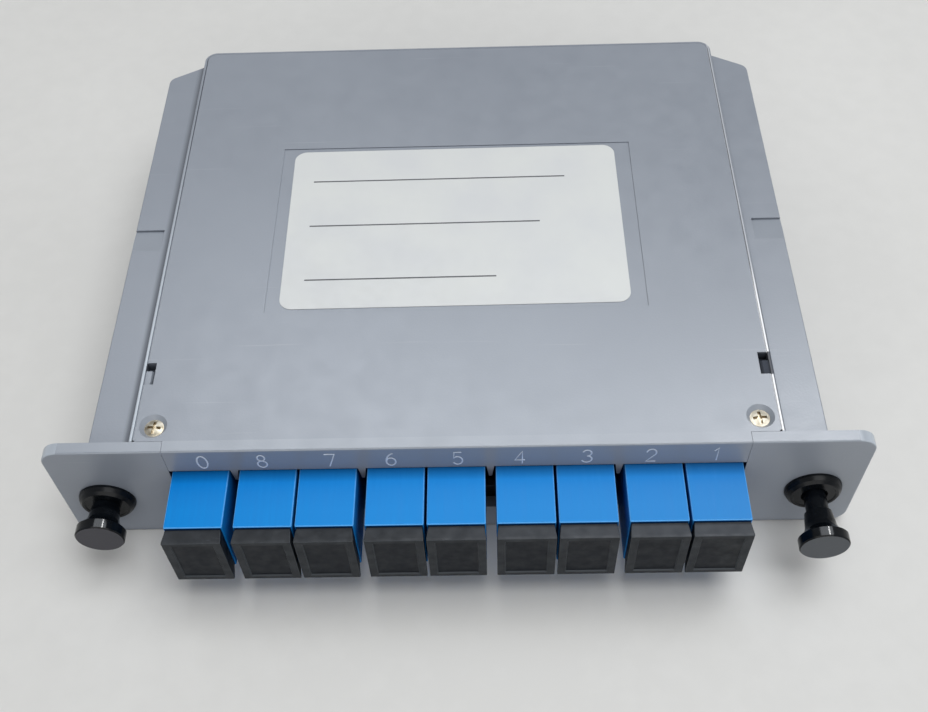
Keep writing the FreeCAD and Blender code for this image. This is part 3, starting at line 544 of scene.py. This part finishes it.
@dataclass(frozen=True)
class HousingPlastic:
    """Blue-grey moulded plastic with a fine spark-eroded grain and faint rub marks."""

    colour: Colour = srgb(126, 133, 144)
    # Pale tone for rub marks, and for painted highlights on rounded edges, notch ramps and the panel front.
    wear_and_highlight: Colour = srgb(150, 157, 167)
    shaded: Colour = srgb(44, 50, 62)
    # Painted highlights on the wall tops, the panel's round corners and the label recess's lit step.
    painted_highlight: Colour = srgb(178, 187, 197)
    painted_glint: Colour = srgb(238, 240, 243)
    # Strips beside the cover's right edge: a painted highlight, then a line of painted shade.
    bright_line: tuple = (-0.12 * MM, 0.30 * MM)
    dark_line: tuple = (0.34 * MM, 0.60 * MM)
    dark_line_share: float = 0.6
    cloud_scale: float = 28.0
    cloud_share: float = 0.16
    scratch_stretch: tuple = (40.0, 1500.0, 1500.0)
    scratch_share: float = 0.35
    edge_share: float = 0.6
    crevice_reach: float = 2.2 * MM
    crevice_share: float = 0.75
    gloss: tuple = (0.28, 0.34)
    gloss_scale: float = 300.0
    foot_dullness: float = 0.6
    grain_scale: float = 2600.0
    grain_depth: float = 0.03 * MM
    grain_strength: float = 0.35

    def build(self) -> bpy.types.Material:
        """Make the material.

        Returns:
            The material.
        """
        graph = Graph("housing_plastic")
        masks = HousingMasks(graph)
        cloud = graph.ramp(graph.noise(self.cloud_scale, 3.0), 0.35, 0.65, 0.0, self.cloud_share)
        drawn = graph.noise(1.0, 2.0, graph.stretch(*self.scratch_stretch))
        scratch = graph.ramp(drawn, 0.70, 0.80, 0.0, self.scratch_share)
        # Scratches are real wear; the notch ramps, rounded edges and panel front get painted highlights.
        paler = graph.either(scratch, masks.notch(), graph.edges(self.edge_share), masks.front())
        plain = graph.blend(paler, graph.blend(cloud, self.colour, self.wear_and_highlight), self.wear_and_highlight)
        # Painted highlights on the left wall's top, the round corners and the lit step of the label recess.
        lit = graph.either(masks.left_rim(), masks.corner(), masks.recess_step(Side.LEFT))
        # A bright line of painted highlight along the right wall's top.
        line = masks.right_rim(*self.bright_line)
        lined = graph.blend(line, graph.blend(lit, plain, self.painted_highlight), self.painted_glint)
        # Painted shade on the tab and wall in the right window.
        window_shade = masks.window_shade()
        foot = masks.foot()
        # A line of painted shade just outside the bright line, where the wall meets the wing.
        outer = graph.both(masks.right_rim(*self.dark_line), self.dark_line_share)
        unlit = graph.ramp(graph.either(line, lit), 0.0, 0.7, 1.0, 0.0)
        # Painted shade in crevices, at the walls' foot and on the label recess's shaded step.
        deep = graph.both(graph.crevices(self.crevice_reach, self.crevice_share), unlit)
        dark = graph.either(window_shade, outer, deep, foot, masks.recess_step(Side.RIGHT))
        graph.link(graph.blend(dark, lined, self.shaded), "Base Color")
        dull = graph.either(window_shade, outer, graph.ramp(foot, 0.0, 0.4, 0.0, self.foot_dullness))
        graph.link(graph.either(graph.mottle(self.gloss_scale, 2.0, *self.gloss), dull), "Roughness")
        graph.bump(graph.noise(self.grain_scale, 2.0), self.grain_depth, self.grain_strength)
        return graph.material


@dataclass(frozen=True)
class AdapterPlastic:
    """Saturated blue moulded plastic with fine drag lines and painted highlights on its upper edges."""

    # The blues along the row, lighter in the middle, are painted light. The pale ones serve the drag
    # streaks and the painted paler front.
    left: Colour = srgb(0, 117, 200)
    middle: Colour = srgb(34, 162, 248)
    right: Colour = srgb(46, 129, 204)
    pale_left: Colour = srgb(0, 139, 220)
    pale_right: Colour = srgb(66, 144, 213)
    edge: Colour = srgb(104, 178, 243)
    shaded: Colour = srgb(2, 40, 88)
    streak_scale: float = 160.0
    streak_share: tuple = (0.06, 0.26)
    drag_stretch: tuple = (1700.0, 90.0, 1700.0)
    lit_span: tuple = (3.0 * MM, 2.5 * MM)
    lit_share: float = 0.45
    central_share: float = 0.9
    edge_share: float = 0.75
    brow_length: float = 2.2 * MM
    brow_share: float = 0.5
    front_shade_share: float = 0.95
    side_depth: tuple = (7.0 * MM, 2.5 * MM)
    side_share: float = 0.5
    gap_depth: tuple = (2.0 * MM, 0.4 * MM)
    gap_reach: float = 2.5 * MM
    gap_share: float = 0.4
    gloss: tuple = (0.38, 0.52)
    specular: float = 0.04
    grain_scale: float = 1800.0
    grain_depth: float = 0.02 * MM
    grain_strength: float = 0.3

    def tint(self, graph: Graph, drag: Socket) -> Socket:
        """Blue with painted light: it shifts from left to right along the row and goes paler towards the
        adapters' front.

        Args:
            graph: The finish's nodes.
            drag: Noise drawn out along the adapter.

        Returns:
            The colour.
        """
        low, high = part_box("top_cover")
        front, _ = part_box("adapter_in")
        x, y, _ = graph.parts(graph.place)
        along = graph.ramp(x, low.x, high.x)
        streaks = graph.both(graph.mottle(self.streak_scale, 4.0, *self.streak_share),
                             graph.ramp(drag, 0.4, 0.7))
        ahead, behind = self.lit_span
        lit = graph.ramp(y, front.y + ahead, low.y - behind, self.lit_share, 0.0)
        sides = graph.blend(graph.sum(streaks, lit),
                            graph.blend(along, self.left, self.right),
                            graph.blend(along, self.pale_left, self.pale_right))
        central = graph.both(along, graph.ramp(x, low.x, high.x, self.central_share, 0.0))
        return graph.blend(central, sides, self.middle)

    def shade(self, graph: Graph) -> Socket:
        """Mask of painted shade under the lip, on faces towards the caps and in the gaps between adapters.

        Args:
            graph: The finish's nodes.

        Returns:
            The mask.
        """
        lip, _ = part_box("top_cover")
        _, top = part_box("adapter_in")
        _, y, z = graph.parts(graph.place)
        _, ahead, _ = graph.parts(graph.facing)
        side, _, _ = graph.parts(graph.facing, signed=False)
        brow = graph.ramp(y, lip.y - self.brow_length, lip.y - 0.2 * MM, 0.0, self.brow_share)
        front_shade = graph.ramp(ahead, -0.97, -0.9, self.front_shade_share, 0.0)
        lower, upper = self.side_depth
        deep = graph.both(graph.ramp(side, 0.8, 0.95),
                          graph.ramp(z, top.z - lower, top.z - upper, self.side_share, 0.0))
        lower, upper = self.gap_depth
        tight = graph.both(graph.crevices(self.gap_reach, self.gap_share),
                           graph.ramp(z, top.z - lower, top.z - upper, 1.0, 0.15))
        return graph.either(brow, front_shade, deep, tight)

    def build(self) -> bpy.types.Material:
        """Make the material.

        Returns:
            The material.
        """
        graph = Graph("adapter_plastic")
        drag = graph.noise(1.0, 3.0, graph.stretch(*self.drag_stretch))
        _, _, up = graph.parts(graph.facing)
        # Painted highlights on the rounded edges that face up.
        wear_and_highlight = graph.both(graph.edges(self.edge_share), graph.ramp(up, 0.2, 0.5))
        edged = graph.blend(wear_and_highlight, self.tint(graph, drag), self.edge)
        # Painted shade where the shade mask falls.
        graph.link(graph.blend(self.shade(graph), edged, self.shaded), "Base Color")
        graph.link(graph.ramp(drag, *graph.NOISE_BAND, *self.gloss), "Roughness")
        graph.set(Specular_IOR_Level=self.specular)
        grain = graph.sum(graph.noise(self.grain_scale, 2.0), drag, 0.8)
        graph.bump(grain, self.grain_depth, self.grain_strength)
        return graph.material


@dataclass(frozen=True)
class CapPlastic:
    """Charcoal cap plastic, dull, with light rub marks and short scratches."""

    # Top colours, dark on the left and lighter on the right: painted light.
    left: Colour = srgb(12, 17, 23)
    right: Colour = srgb(50, 54, 60)
    wear_and_highlight: Colour = srgb(56, 61, 67)
    # Dark for painted shade in the sunk middle and along the rear edge.
    sunk: Colour = srgb(4, 11, 21)
    edge: Colour = srgb(80, 85, 90)
    top_fade: tuple = (-14.0 * MM, 30.0 * MM)
    recess_depth: float = 0.1 * MM
    recess_share: float = 0.8
    recess_fade: tuple = (38.0 * MM, 42.0 * MM)
    recess_rest: float = 0.15
    frame_share: float = 0.25
    rear_shade: tuple = (0.65 * MM, 0.35 * MM)
    rear_share: float = 0.95
    smear_scale: float = 420.0
    smear_share: float = 0.35
    scratch_stretch: tuple = (260.0, 900.0, 3200.0)
    scratch_share: float = 0.7
    edge_share: float = 0.6
    gloss: tuple = (0.42, 0.6)
    gloss_scale: float = 600.0
    specular: float = 0.2
    grain_scale: float = 2200.0
    grain_depth: float = 0.02 * MM
    grain_strength: float = 0.4

    def face(self, graph: Graph) -> tuple[Socket, Socket]:
        """Masks of a cap's front face.

        Args:
            graph: The finish's nodes.

        Returns:
            The mask of the painted shade in the sunk middle, lighter at the last cap where the light falls,
            and the mask of its frame.
        """
        low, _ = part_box("dust_cap_in")
        x, y, _ = graph.parts(graph.place)
        _, facing, _ = graph.parts(graph.facing, signed=False)
        floor = low.y + self.recess_depth
        recess = graph.both(graph.ramp(y, floor, floor + 0.1 * MM),
                            graph.ramp(facing, 0.9, 0.98, 0.0, self.recess_share),
                            graph.ramp(x, *self.recess_fade, 1.0, self.recess_rest))
        rim = graph.both(graph.ramp(y, floor - 0.05 * MM, floor, self.frame_share, 0.0),
                         graph.ramp(facing, 0.9, 0.98))
        return recess, rim

    def build(self) -> bpy.types.Material:
        """Make the material.

        Returns:
            The material.
        """
        graph = Graph("cap_plastic")
        adapter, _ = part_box("adapter_in")
        x, y, _ = graph.parts(graph.place)
        _, _, level = graph.parts(graph.facing, signed=False)
        recess, rim = self.face(graph)
        smear = graph.ramp(graph.noise(self.smear_scale, 5.0), 0.45, 0.75, 0.0, self.smear_share)
        streak = graph.noise(1.0, 3.0, graph.stretch(*self.scratch_stretch))
        scratch = graph.ramp(streak, 0.66, 0.74, 0.0, self.scratch_share)
        # Painted light: the tops go lighter towards the right, where the light falls.
        lit = graph.both(graph.ramp(x, *self.top_fade), graph.ramp(level, 0.4, 0.9))
        colour = graph.blend(lit, self.left, self.right)
        for mark in (smear, scratch, rim):
            colour = graph.blend(mark, colour, self.wear_and_highlight)
        # Painted highlights on the rounded edges.
        edged = graph.blend(graph.edges(self.edge_share), colour, self.edge)
        start, end = self.rear_shade
        rear = graph.ramp(y, adapter.y - start, adapter.y - end, 0.0, self.rear_share)
        # Painted shade in the sunk middle and along the rear edge next to the adapter.
        graph.link(graph.blend(graph.either(recess, rear), edged, self.sunk), "Base Color")
        graph.set(Specular_IOR_Level=self.specular)
        graph.link(graph.mottle(self.gloss_scale, 3.0, *self.gloss), "Roughness")
        grain = graph.sum(graph.noise(self.grain_scale, 2.0), streak, 0.6)
        graph.bump(grain, self.grain_depth, self.grain_strength)
        return graph.material


@dataclass(frozen=True)
class LatchPlastic:
    """Black moulded plastic with a high gloss and a duller, paler front face."""

    colour: Colour = srgb(8, 11, 15)
    pale: Colour = srgb(20, 24, 29)
    front_left: Colour = srgb(66, 66, 72)
    front_right: Colour = srgb(83, 87, 92)
    patch_scale: float = 500.0
    patch_share: float = 0.6
    knob_length: float = 2.0 * MM
    gloss: tuple = (0.09, 0.15)
    gloss_scale: float = 350.0
    collar_span: tuple = (4.0 * MM, 7.0 * MM)
    collar_dullness: float = 0.16
    front_dullness: float = 0.5
    specular: float = 0.15
    grain_scale: float = 900.0
    grain_depth: float = 0.01 * MM
    grain_strength: float = 0.3

    def build(self) -> bpy.types.Material:
        """Make the material.

        Returns:
            The material.
        """
        graph = Graph("latch_plastic")
        low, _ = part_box("latch_plunger_left")
        x, y, _ = graph.parts(graph.place)
        _, ahead, _ = graph.parts(graph.facing)
        patches = graph.ramp(graph.noise(self.patch_scale, 3.0), 0.4, 0.7, 0.0, self.patch_share)
        near, far = self.collar_span
        knob_back = low.y + self.knob_length
        front = graph.both(graph.ramp(ahead, -0.98, -0.9, 1.0, 0.0),
                           graph.ramp(y, knob_back, knob_back + MM, 1.0, 0.0))
        # The front face is duller and paler; the right-hand latch's face is painted paler still, where the
        # light falls.
        face = graph.blend(graph.ramp(x, -MM, MM), self.front_left, self.front_right)
        plain = graph.blend(patches, self.colour, self.pale)
        graph.link(graph.blend(front, plain, face), "Base Color")
        skin = graph.sum(graph.mottle(self.gloss_scale, 3.0, *self.gloss),
                         graph.ramp(y, low.y + near, low.y + far), self.collar_dullness)
        graph.link(graph.either(skin, graph.both(front, self.front_dullness)), "Roughness")
        graph.set(Specular_IOR_Level=self.specular)
        graph.bump(graph.noise(self.grain_scale, 2.0), self.grain_depth, self.grain_strength)
        return graph.material


@dataclass(frozen=True)
class ScrewMetal:
    """Nickel-plated steel, warm in tone, with bronze in its cross and fine turning marks."""

    colour: Colour = srgb(160, 155, 143)
    dark: Colour = srgb(112, 105, 91)
    cross: Colour = srgb(172, 160, 138)
    cross_depth: tuple = (0.27 * MM, 0.19 * MM)
    patch_scale: float = 900.0
    gloss: tuple = (0.4, 0.55)
    gloss_scale: float = 1500.0
    grain_scale: float = 2500.0
    grain_depth: float = 0.01 * MM
    grain_strength: float = 0.4

    def build(self) -> bpy.types.Material:
        """Make the material.

        Returns:
            The material.
        """
        graph = Graph("screw_metal")
        _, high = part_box("cover_screws")
        _, _, z = graph.parts(graph.place)
        patches = graph.ramp(graph.noise(self.patch_scale, 3.0), 0.4, 0.7)
        lower, upper = self.cross_depth
        sunk = graph.ramp(z, high.z - lower, high.z - upper, 1.0, 0.0)
        plated = graph.blend(patches, self.colour, self.dark)
        graph.link(graph.blend(sunk, plated, self.cross), "Base Color")
        graph.set(Metallic=1.0)
        graph.link(graph.mottle(self.gloss_scale, 2.0, *self.gloss), "Roughness")
        graph.bump(graph.noise(self.grain_scale, 2.0), self.grain_depth, self.grain_strength)
        return graph.material


@dataclass(frozen=True)
class LabelFilm:
    """White label stock with a faint fibre and a soft surface."""

    colour: Colour = srgb(203, 206, 205)
    shade: Colour = srgb(197, 200, 202)
    patch_scale: float = 90.0
    gloss: tuple = (0.36, 0.5)
    gloss_scale: float = 700.0
    fibre_scale: float = 1200.0
    fibre_depth: float = 0.01 * MM
    fibre_strength: float = 0.3

    def build(self) -> bpy.types.Material:
        """Make the material.

        Returns:
            The material.
        """
        graph = Graph("label_film")
        patches = graph.ramp(graph.noise(self.patch_scale, 4.0), 0.35, 0.7)
        graph.link(graph.blend(patches, self.colour, self.shade), "Base Color")
        graph.link(graph.mottle(self.gloss_scale, 2.0, *self.gloss), "Roughness")
        graph.bump(graph.noise(self.fibre_scale, 3.0), self.fibre_depth, self.fibre_strength)
        return graph.material


@dataclass(frozen=True)
class PlainFinish:
    """A simple moulded, drawn or sintered finish with slight colour and gloss variation."""

    name: str
    colour: Colour
    shade: Colour
    gloss: tuple = (0.35, 0.5)
    metallic: float = 0.0
    transmission: float = 0.0
    patch_scale: float = 220.0
    gloss_scale: float = 600.0
    grain_scale: float = 1500.0
    grain_depth: float = 0.01 * MM
    grain_strength: float = 0.3

    def build(self) -> bpy.types.Material:
        """Make the material.

        Returns:
            The material.
        """
        graph = Graph(self.name)
        patches = graph.ramp(graph.noise(self.patch_scale, 3.0), 0.35, 0.7)
        graph.link(graph.blend(patches, self.colour, self.shade), "Base Color")
        graph.link(graph.mottle(self.gloss_scale, 2.0, *self.gloss), "Roughness")
        graph.set(Metallic=self.metallic, Transmission_Weight=self.transmission)
        graph.bump(graph.noise(self.grain_scale, 2.0), self.grain_depth, self.grain_strength)
        return graph.material


def dress(frame: dict, node: str, material: bpy.types.Material) -> bpy.types.Object:
    """Give a CAD node its finish and smooth shading within each of its faces.

    Args:
        frame: The loaded frame.
        node: Name of the node.
        material: Its finish.

    Returns:
        The node's object.
    """
    item = frame["nodes"][node]
    item.data.materials.clear()
    item.data.materials.append(material)
    item.data.shade_smooth()
    LOG.info("dressed %s in %s", node, material.name)
    return item


def add_piece(name: str, mesh: bpy.types.Mesh, material: bpy.types.Material,
              body: Body) -> bpy.types.Object:
    """Add a mesh as a piece that rides on a body.

    Args:
        name: Name of the piece.
        mesh: Its mesh, in the row frame.
        material: Its finish.
        body: The body that it rides on.

    Returns:
        The new object.
    """
    piece = bpy.data.objects.new(name, mesh)
    bpy.context.scene.collection.objects.link(piece)
    mesh.materials.clear()
    mesh.materials.append(material)
    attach(piece, body.value)
    LOG.info("added %s with %d faces", name, len(mesh.polygons))
    return piece


@dataclass
class Housing:
    """Base shell and top cover."""

    plastic: HousingPlastic = HousingPlastic()

    def build(self, frame: dict) -> None:
        """Dress both shells.

        Args:
            frame: The loaded frame.
        """
        material = self.plastic.build()
        for node in ("base_shell", "top_cover"):
            dress(frame, node, material)


@dataclass
class PortNumbers:
    """Plain numerals on the front lip, one over each adapter, drawn in single strokes.

    Each numeral stands a little to one side of its adapter's middle, by its shift.
    """

    height: float = 3.5 * MM
    width: float = 1.6 * MM
    stroke: float = 0.27 * MM
    relief: float = 0.06 * MM
    below_top: float = 1.4 * MM
    shifts: tuple = (0.85 * MM, -0.55 * MM, 0.65 * MM, -0.6 * MM, 0.3 * MM,
                     -0.75 * MM, 0.2 * MM, -0.65 * MM, 0.0)
    bead: PlainFinish = PlainFinish("numeral_bead", srgb(206, 213, 223), srgb(190, 198, 210), (0.5, 0.62))
    arc_steps: int = 14

    def arc(self, x: float, y: float, rx: float, ry: float,
            start: float, end: float) -> list[tuple[float, float]]:
        """Points along part of an ellipse, in a unit box.

        Args:
            x: Centre, as a share of the numeral's width.
            y: Centre, as a share of its height.
            rx: Half width of the ellipse.
            ry: Half height of the ellipse.
            start: First angle in degrees.
            end: Last angle in degrees.

        Returns:
            The points.
        """
        points = []
        for step in range(self.arc_steps + 1):
            angle = math.radians(start + (end - start) * step / self.arc_steps)
            points.append((x + rx * math.cos(angle), y + ry * math.sin(angle)))
        return points

    def strokes(self, numeral: str) -> list[list[tuple[float, float]]]:
        """Single-line strokes of a numeral, in a unit box.

        Args:
            numeral: One digit from 0 to 8.

        Returns:
            A list of strokes, each a list of points.
        """
        shapes = {
            "0": [self.arc(0.5, 0.5, 0.5, 0.5, 90.0, 450.0)],
            "1": [[(0.2, 0.78), (0.55, 1.0), (0.55, 0.0)]],
            "2": [self.arc(0.5, 0.7, 0.46, 0.3, 170.0, -25.0) + [(0.04, 0.0), (1.0, 0.0)]],
            "3": [self.arc(0.46, 0.76, 0.42, 0.24, 160.0, -90.0),
                  self.arc(0.46, 0.26, 0.5, 0.26, 90.0, -160.0)],
            "4": [[(0.74, 0.0), (0.74, 1.0), (0.0, 0.28), (1.0, 0.28)]],
            "5": [[(0.9, 1.0), (0.18, 1.0), (0.1, 0.52)]
                  + self.arc(0.48, 0.32, 0.48, 0.32, 130.0, -150.0)],
            "6": [self.arc(0.5, 0.31, 0.46, 0.31, 180.0, 540.0),
                  self.arc(0.9, 0.31, 0.86, 0.69, 180.0, 100.0)],
            "7": [[(0.0, 1.0), (1.0, 1.0), (0.36, 0.0)]],
            "8": [self.arc(0.5, 0.77, 0.36, 0.23, -90.0, 270.0),
                  self.arc(0.5, 0.27, 0.46, 0.27, 90.0, 450.0)],
        }
        return shapes[numeral]

    def mesh(self, numeral: str, corner: Vector) -> bpy.types.Mesh:
        """Mesh of one numeral as a low rounded bead.

        Args:
            numeral: One digit from 0 to 8.
            corner: Its lower left corner on the lip's face.

        Returns:
            The mesh, in the row frame.
        """
        curve = bpy.data.curves.new("numeral_line", "CURVE")
        curve.dimensions = "3D"
        curve.bevel_depth = self.stroke / 2.0
        curve.bevel_resolution = 2
        curve.use_fill_caps = True
        for stroke in self.strokes(numeral):
            spline = curve.splines.new("POLY")
            spline.points.add(len(stroke) - 1)
            for point, (x, z) in zip(spline.points, stroke):
                point.co = (x * self.width, 0.0, z * self.height, 1.0)
        holder = bpy.data.objects.new("numeral_line", curve)
        mesh = bpy.data.meshes.new_from_object(holder)
        flatten = Matrix.Diagonal((1.0, 2.0 * self.relief / self.stroke, 1.0, 1.0))
        mesh.transform(Matrix.Translation(corner) @ flatten)
        mesh.shade_smooth()
        bpy.data.objects.remove(holder)
        bpy.data.curves.remove(curve)
        return mesh

    def build(self) -> None:
        """Add the numeral over each adapter."""
        bead = self.bead.build()
        lip_low, lip_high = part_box("top_cover")
        base = lip_high.z - self.below_top - self.height
        for name, shift in zip(port_names(), self.shifts):
            low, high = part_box("adapter_" + name)
            numeral = "0" if name == "in" else name
            left = (low.x + high.x) / 2.0 + shift - self.width / 2.0
            mesh = self.mesh(numeral, Vector((left, lip_low.y, base)))
            add_piece("port_number_" + numeral, mesh, bead, Body.CASSETTE)


@dataclass
class Label:
    """White label with three plain ruled lines where print would be.

    Each line's place is a share of the label's depth, from its front edge.
    """

    film: LabelFilm = LabelFilm()
    ink: PlainFinish = PlainFinish("label_ink", srgb(52, 54, 58), srgb(70, 72, 76), (0.45, 0.6))
    rule_lengths: tuple = (46.0 * MM, 41.0 * MM, 33.0 * MM)
    rule_places: tuple = (0.79, 0.50, 0.17)
    rule_thick: float = 0.3 * MM
    rule_lift: float = 0.01 * MM
    margin: float = 4.0 * MM
    turn: float = math.radians(0.3)

    def build(self, frame: dict) -> None:
        """Dress the label and add its ruled lines.

        Args:
            frame: The loaded frame.
        """
        dress(frame, "label", self.film.build())
        low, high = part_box("label")
        middle = (low + high) / 2.0
        vertices = []
        faces = []
        half = self.rule_thick / 2.0
        for length, place in zip(self.rule_lengths, self.rule_places):
            y = low.y + place * (high.y - low.y) - middle.y
            x = low.x + self.margin - middle.x
            first = len(vertices)
            vertices += [(x, y - half, 0.0), (x + length, y - half, 0.0),
                         (x + length, y + half, 0.0), (x, y + half, 0.0)]
            faces.append(tuple(range(first, first + 4)))
        mesh = bpy.data.meshes.new("label_rules")
        mesh.from_pydata(vertices, [], faces)
        lifted = Vector((middle.x, middle.y, high.z + self.rule_lift))
        mesh.transform(Matrix.Translation(lifted) @ Matrix.Rotation(self.turn, 4, "Z"))
        add_piece("label_rules", mesh, self.ink.build(), Body.CASSETTE)


@dataclass
class AdapterRow:
    """The nine adapters and their dust caps."""

    housing: AdapterPlastic = AdapterPlastic()
    cap: CapPlastic = CapPlastic()

    def build(self, frame: dict) -> None:
        """Dress every adapter and cap.

        Args:
            frame: The loaded frame.
        """
        blue = self.housing.build()
        charcoal = self.cap.build()
        for name in port_names():
            dress(frame, "adapter_" + name, blue)
            dress(frame, "dust_cap_" + name, charcoal)


@dataclass
class Fixings:
    """Cover screws and the two push-pull latches."""

    latch: LatchPlastic = LatchPlastic()
    screw: ScrewMetal = ScrewMetal()

    def build(self, frame: dict) -> None:
        """Dress the screws, grommets and plungers.

        Args:
            frame: The loaded frame.
        """
        dress(frame, "cover_screws", self.screw.build())
        black = self.latch.build()
        for side in Side:
            dress(frame, "latch_grommet_" + side.value, black)
            dress(frame, "latch_plunger_" + side.value, black)


@dataclass
class InnerOptics:
    """Sleeves, connectors, fibres and the splitter package inside the housing."""

    zirconia: PlainFinish = PlainFinish(
        "zirconia", srgb(238, 236, 228), srgb(226, 224, 216), (0.12, 0.22))
    plug: PlainFinish = PlainFinish(
        "plug_plastic", srgb(20, 96, 190), srgb(36, 116, 205), (0.3, 0.42))
    buffer: PlainFinish = PlainFinish(
        "fibre_buffer", srgb(232, 231, 222), srgb(214, 213, 204), (0.4, 0.5))
    steel: PlainFinish = PlainFinish(
        "case_steel", srgb(190, 192, 195), srgb(168, 170, 174), (0.25, 0.38), metallic=1.0)
    glass: PlainFinish = PlainFinish(
        "chip_glass", srgb(225, 236, 240), srgb(214, 228, 233), (0.05, 0.1), transmission=0.85)
    potting: PlainFinish = PlainFinish(
        "potting", srgb(28, 28, 30), srgb(40, 40, 42), (0.5, 0.65))

    def build(self, frame: dict) -> None:
        """Dress every piece inside.

        Args:
            frame: The loaded frame.
        """
        white = self.zirconia.build()
        dress(frame, "alignment_sleeves", white)
        dress(frame, "ferrules", white)
        dress(frame, "splitter_case", self.steel.build())
        clear = self.glass.build()
        for node in ("waveguide_chip", "fibre_array_in", "fibre_array_out"):
            dress(frame, node, clear)
        black = self.potting.build()
        for node in ("end_bung_in", "end_bung_out"):
            dress(frame, node, black)
        blue = self.plug.build()
        jacket = self.buffer.build()
        for name in port_names():
            dress(frame, "connector_" + name, blue)
            dress(frame, "fibre_" + name, jacket)


@dataclass(frozen=True)
class Lamp:
    """A rectangular lamp that points at the frame's origin."""

    name: str
    place: tuple
    size: tuple
    power: float
    colour: tuple
    sheen_only: bool = False

    def build(self) -> None:
        """Add the lamp."""
        data = bpy.data.lights.new(self.name, "AREA")
        data.shape = "RECTANGLE"
        data.size, data.size_y = self.size
        data.energy = self.power
        data.color = self.colour
        lamp = bpy.data.objects.new(self.name, data)
        lamp.location = self.place
        lamp.rotation_euler = (-lamp.location).to_track_quat("-Z", "Y").to_euler()
        lamp.visible_diffuse = not self.sheen_only
        bpy.context.scene.collection.objects.link(lamp)


@dataclass
class Studio:
    """Pale floor, soft light, pale backdrop and the camera.

    The camera's turn starts from a view straight down with the panel at the bottom.
    """

    floor_reach: float = 2.2
    floor_sides: int = 96
    floor_colour: Colour = srgb(212, 212, 210)
    floor_shade: Colour = srgb(206, 206, 204)
    floor_roughness: float = 0.6
    world_colour: Colour = (1.0, 1.0, 1.0, 1.0)
    world_strength: float = 0.28
    backdrop_strength: float = 0.6
    lamps: tuple = (
        Lamp("overhead", (0.52, 0.05, 1.95), (1.5, 1.5), 30.0, (0.99, 1.0, 1.01)),
        Lamp("front", (0.0, -2.1, 0.95), (2.4, 1.2), 15.5, (1.0, 0.97, 0.93)),
        Lamp("sheen", (0.22, 1.02, 1.95), (2.0, 0.72), 35.5, (0.95, 1.0, 1.06), sheen_only=True),
        Lamp("glint", (0.62, 0.95, 1.88), (0.13, 0.12), 5.0, (1.0, 1.0, 1.0), sheen_only=True),
    )
    lens: float = 44.735
    eye: tuple = (5.555 * MM, -95.981 * MM, 175.653 * MM)
    camera_turn: tuple = (math.radians(36.4804), math.radians(1.64), math.radians(-0.0866))

    def floor(self) -> None:
        """Add the pale floor that the cassette lies on."""
        rim = []
        for side in range(self.floor_sides):
            angle = math.tau * side / self.floor_sides
            rim.append((self.floor_reach * math.cos(angle), self.floor_reach * math.sin(angle), 0.0))
        mesh = bpy.data.meshes.new("floor")
        mesh.from_pydata(rim, [], [tuple(range(self.floor_sides))])
        graph = Graph("floor_paint")
        share = graph.sum(graph.mottle(14.0, 3.0, 0.0, 1.0),
                          graph.ramp(graph.noise(220.0, 4.0), 0.35, 0.65), 0.4)
        graph.link(graph.blend(share, self.floor_colour, self.floor_shade), "Base Color")
        graph.set(Roughness=self.floor_roughness)
        mesh.materials.append(graph.material)
        floor = bpy.data.objects.new("floor", mesh)
        bpy.context.scene.collection.objects.link(floor)

    def lights(self) -> None:
        """Add the lamps."""
        for lamp in self.lamps:
            lamp.build()

    def world(self) -> None:
        """Add an even world light, with a pale backdrop where it is seen or reflected."""
        world = bpy.data.worlds.new("studio")
        world.use_nodes = True
        tree = world.node_tree
        path = tree.nodes.new("ShaderNodeLightPath")
        seen = path.outputs["Is Camera Ray"]
        for name in ("Is Glossy Ray", "Is Transmission Ray"):
            either = tree.nodes.new("ShaderNodeMath")
            either.operation = "MAXIMUM"
            tree.links.new(seen, either.inputs[0])
            tree.links.new(path.outputs[name], either.inputs[1])
            seen = either.outputs[0]
        strength = tree.nodes.new("ShaderNodeMapRange")
        strength.inputs["To Min"].default_value = self.world_strength
        strength.inputs["To Max"].default_value = self.backdrop_strength
        tree.links.new(seen, strength.inputs["Value"])
        background = tree.nodes["Background"]
        background.inputs["Color"].default_value = self.world_colour
        tree.links.new(strength.outputs["Result"], background.inputs["Strength"])
        bpy.context.scene.world = world

    def camera(self) -> None:
        """Add the camera, looking down on the cassette from the front."""
        data = bpy.data.cameras.new("camera")
        data.lens = self.lens
        data.clip_start = 0.01
        camera = bpy.data.objects.new("camera", data)
        camera.location = self.eye
        camera.rotation_euler = Euler(self.camera_turn, "XYZ")
        bpy.context.scene.collection.objects.link(camera)
        bpy.context.scene.camera = camera

    def build(self) -> None:
        """Add the floor, lights, world and camera, and set the view transform."""
        self.floor()
        self.lights()
        self.world()
        self.camera()
        bpy.context.scene.view_settings.view_transform = "Standard"


def main() -> None:
    """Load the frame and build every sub-assembly in order."""
    logging.basicConfig(level=logging.INFO, format="%(name)s: %(message)s")
    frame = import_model()
    Studio().build()
    Housing().build(frame)
    PortNumbers().build()
    Label().build(frame)
    AdapterRow().build(frame)
    Fixings().build(frame)
    InnerOptics().build(frame)


if __name__ == "__main__":
    main()
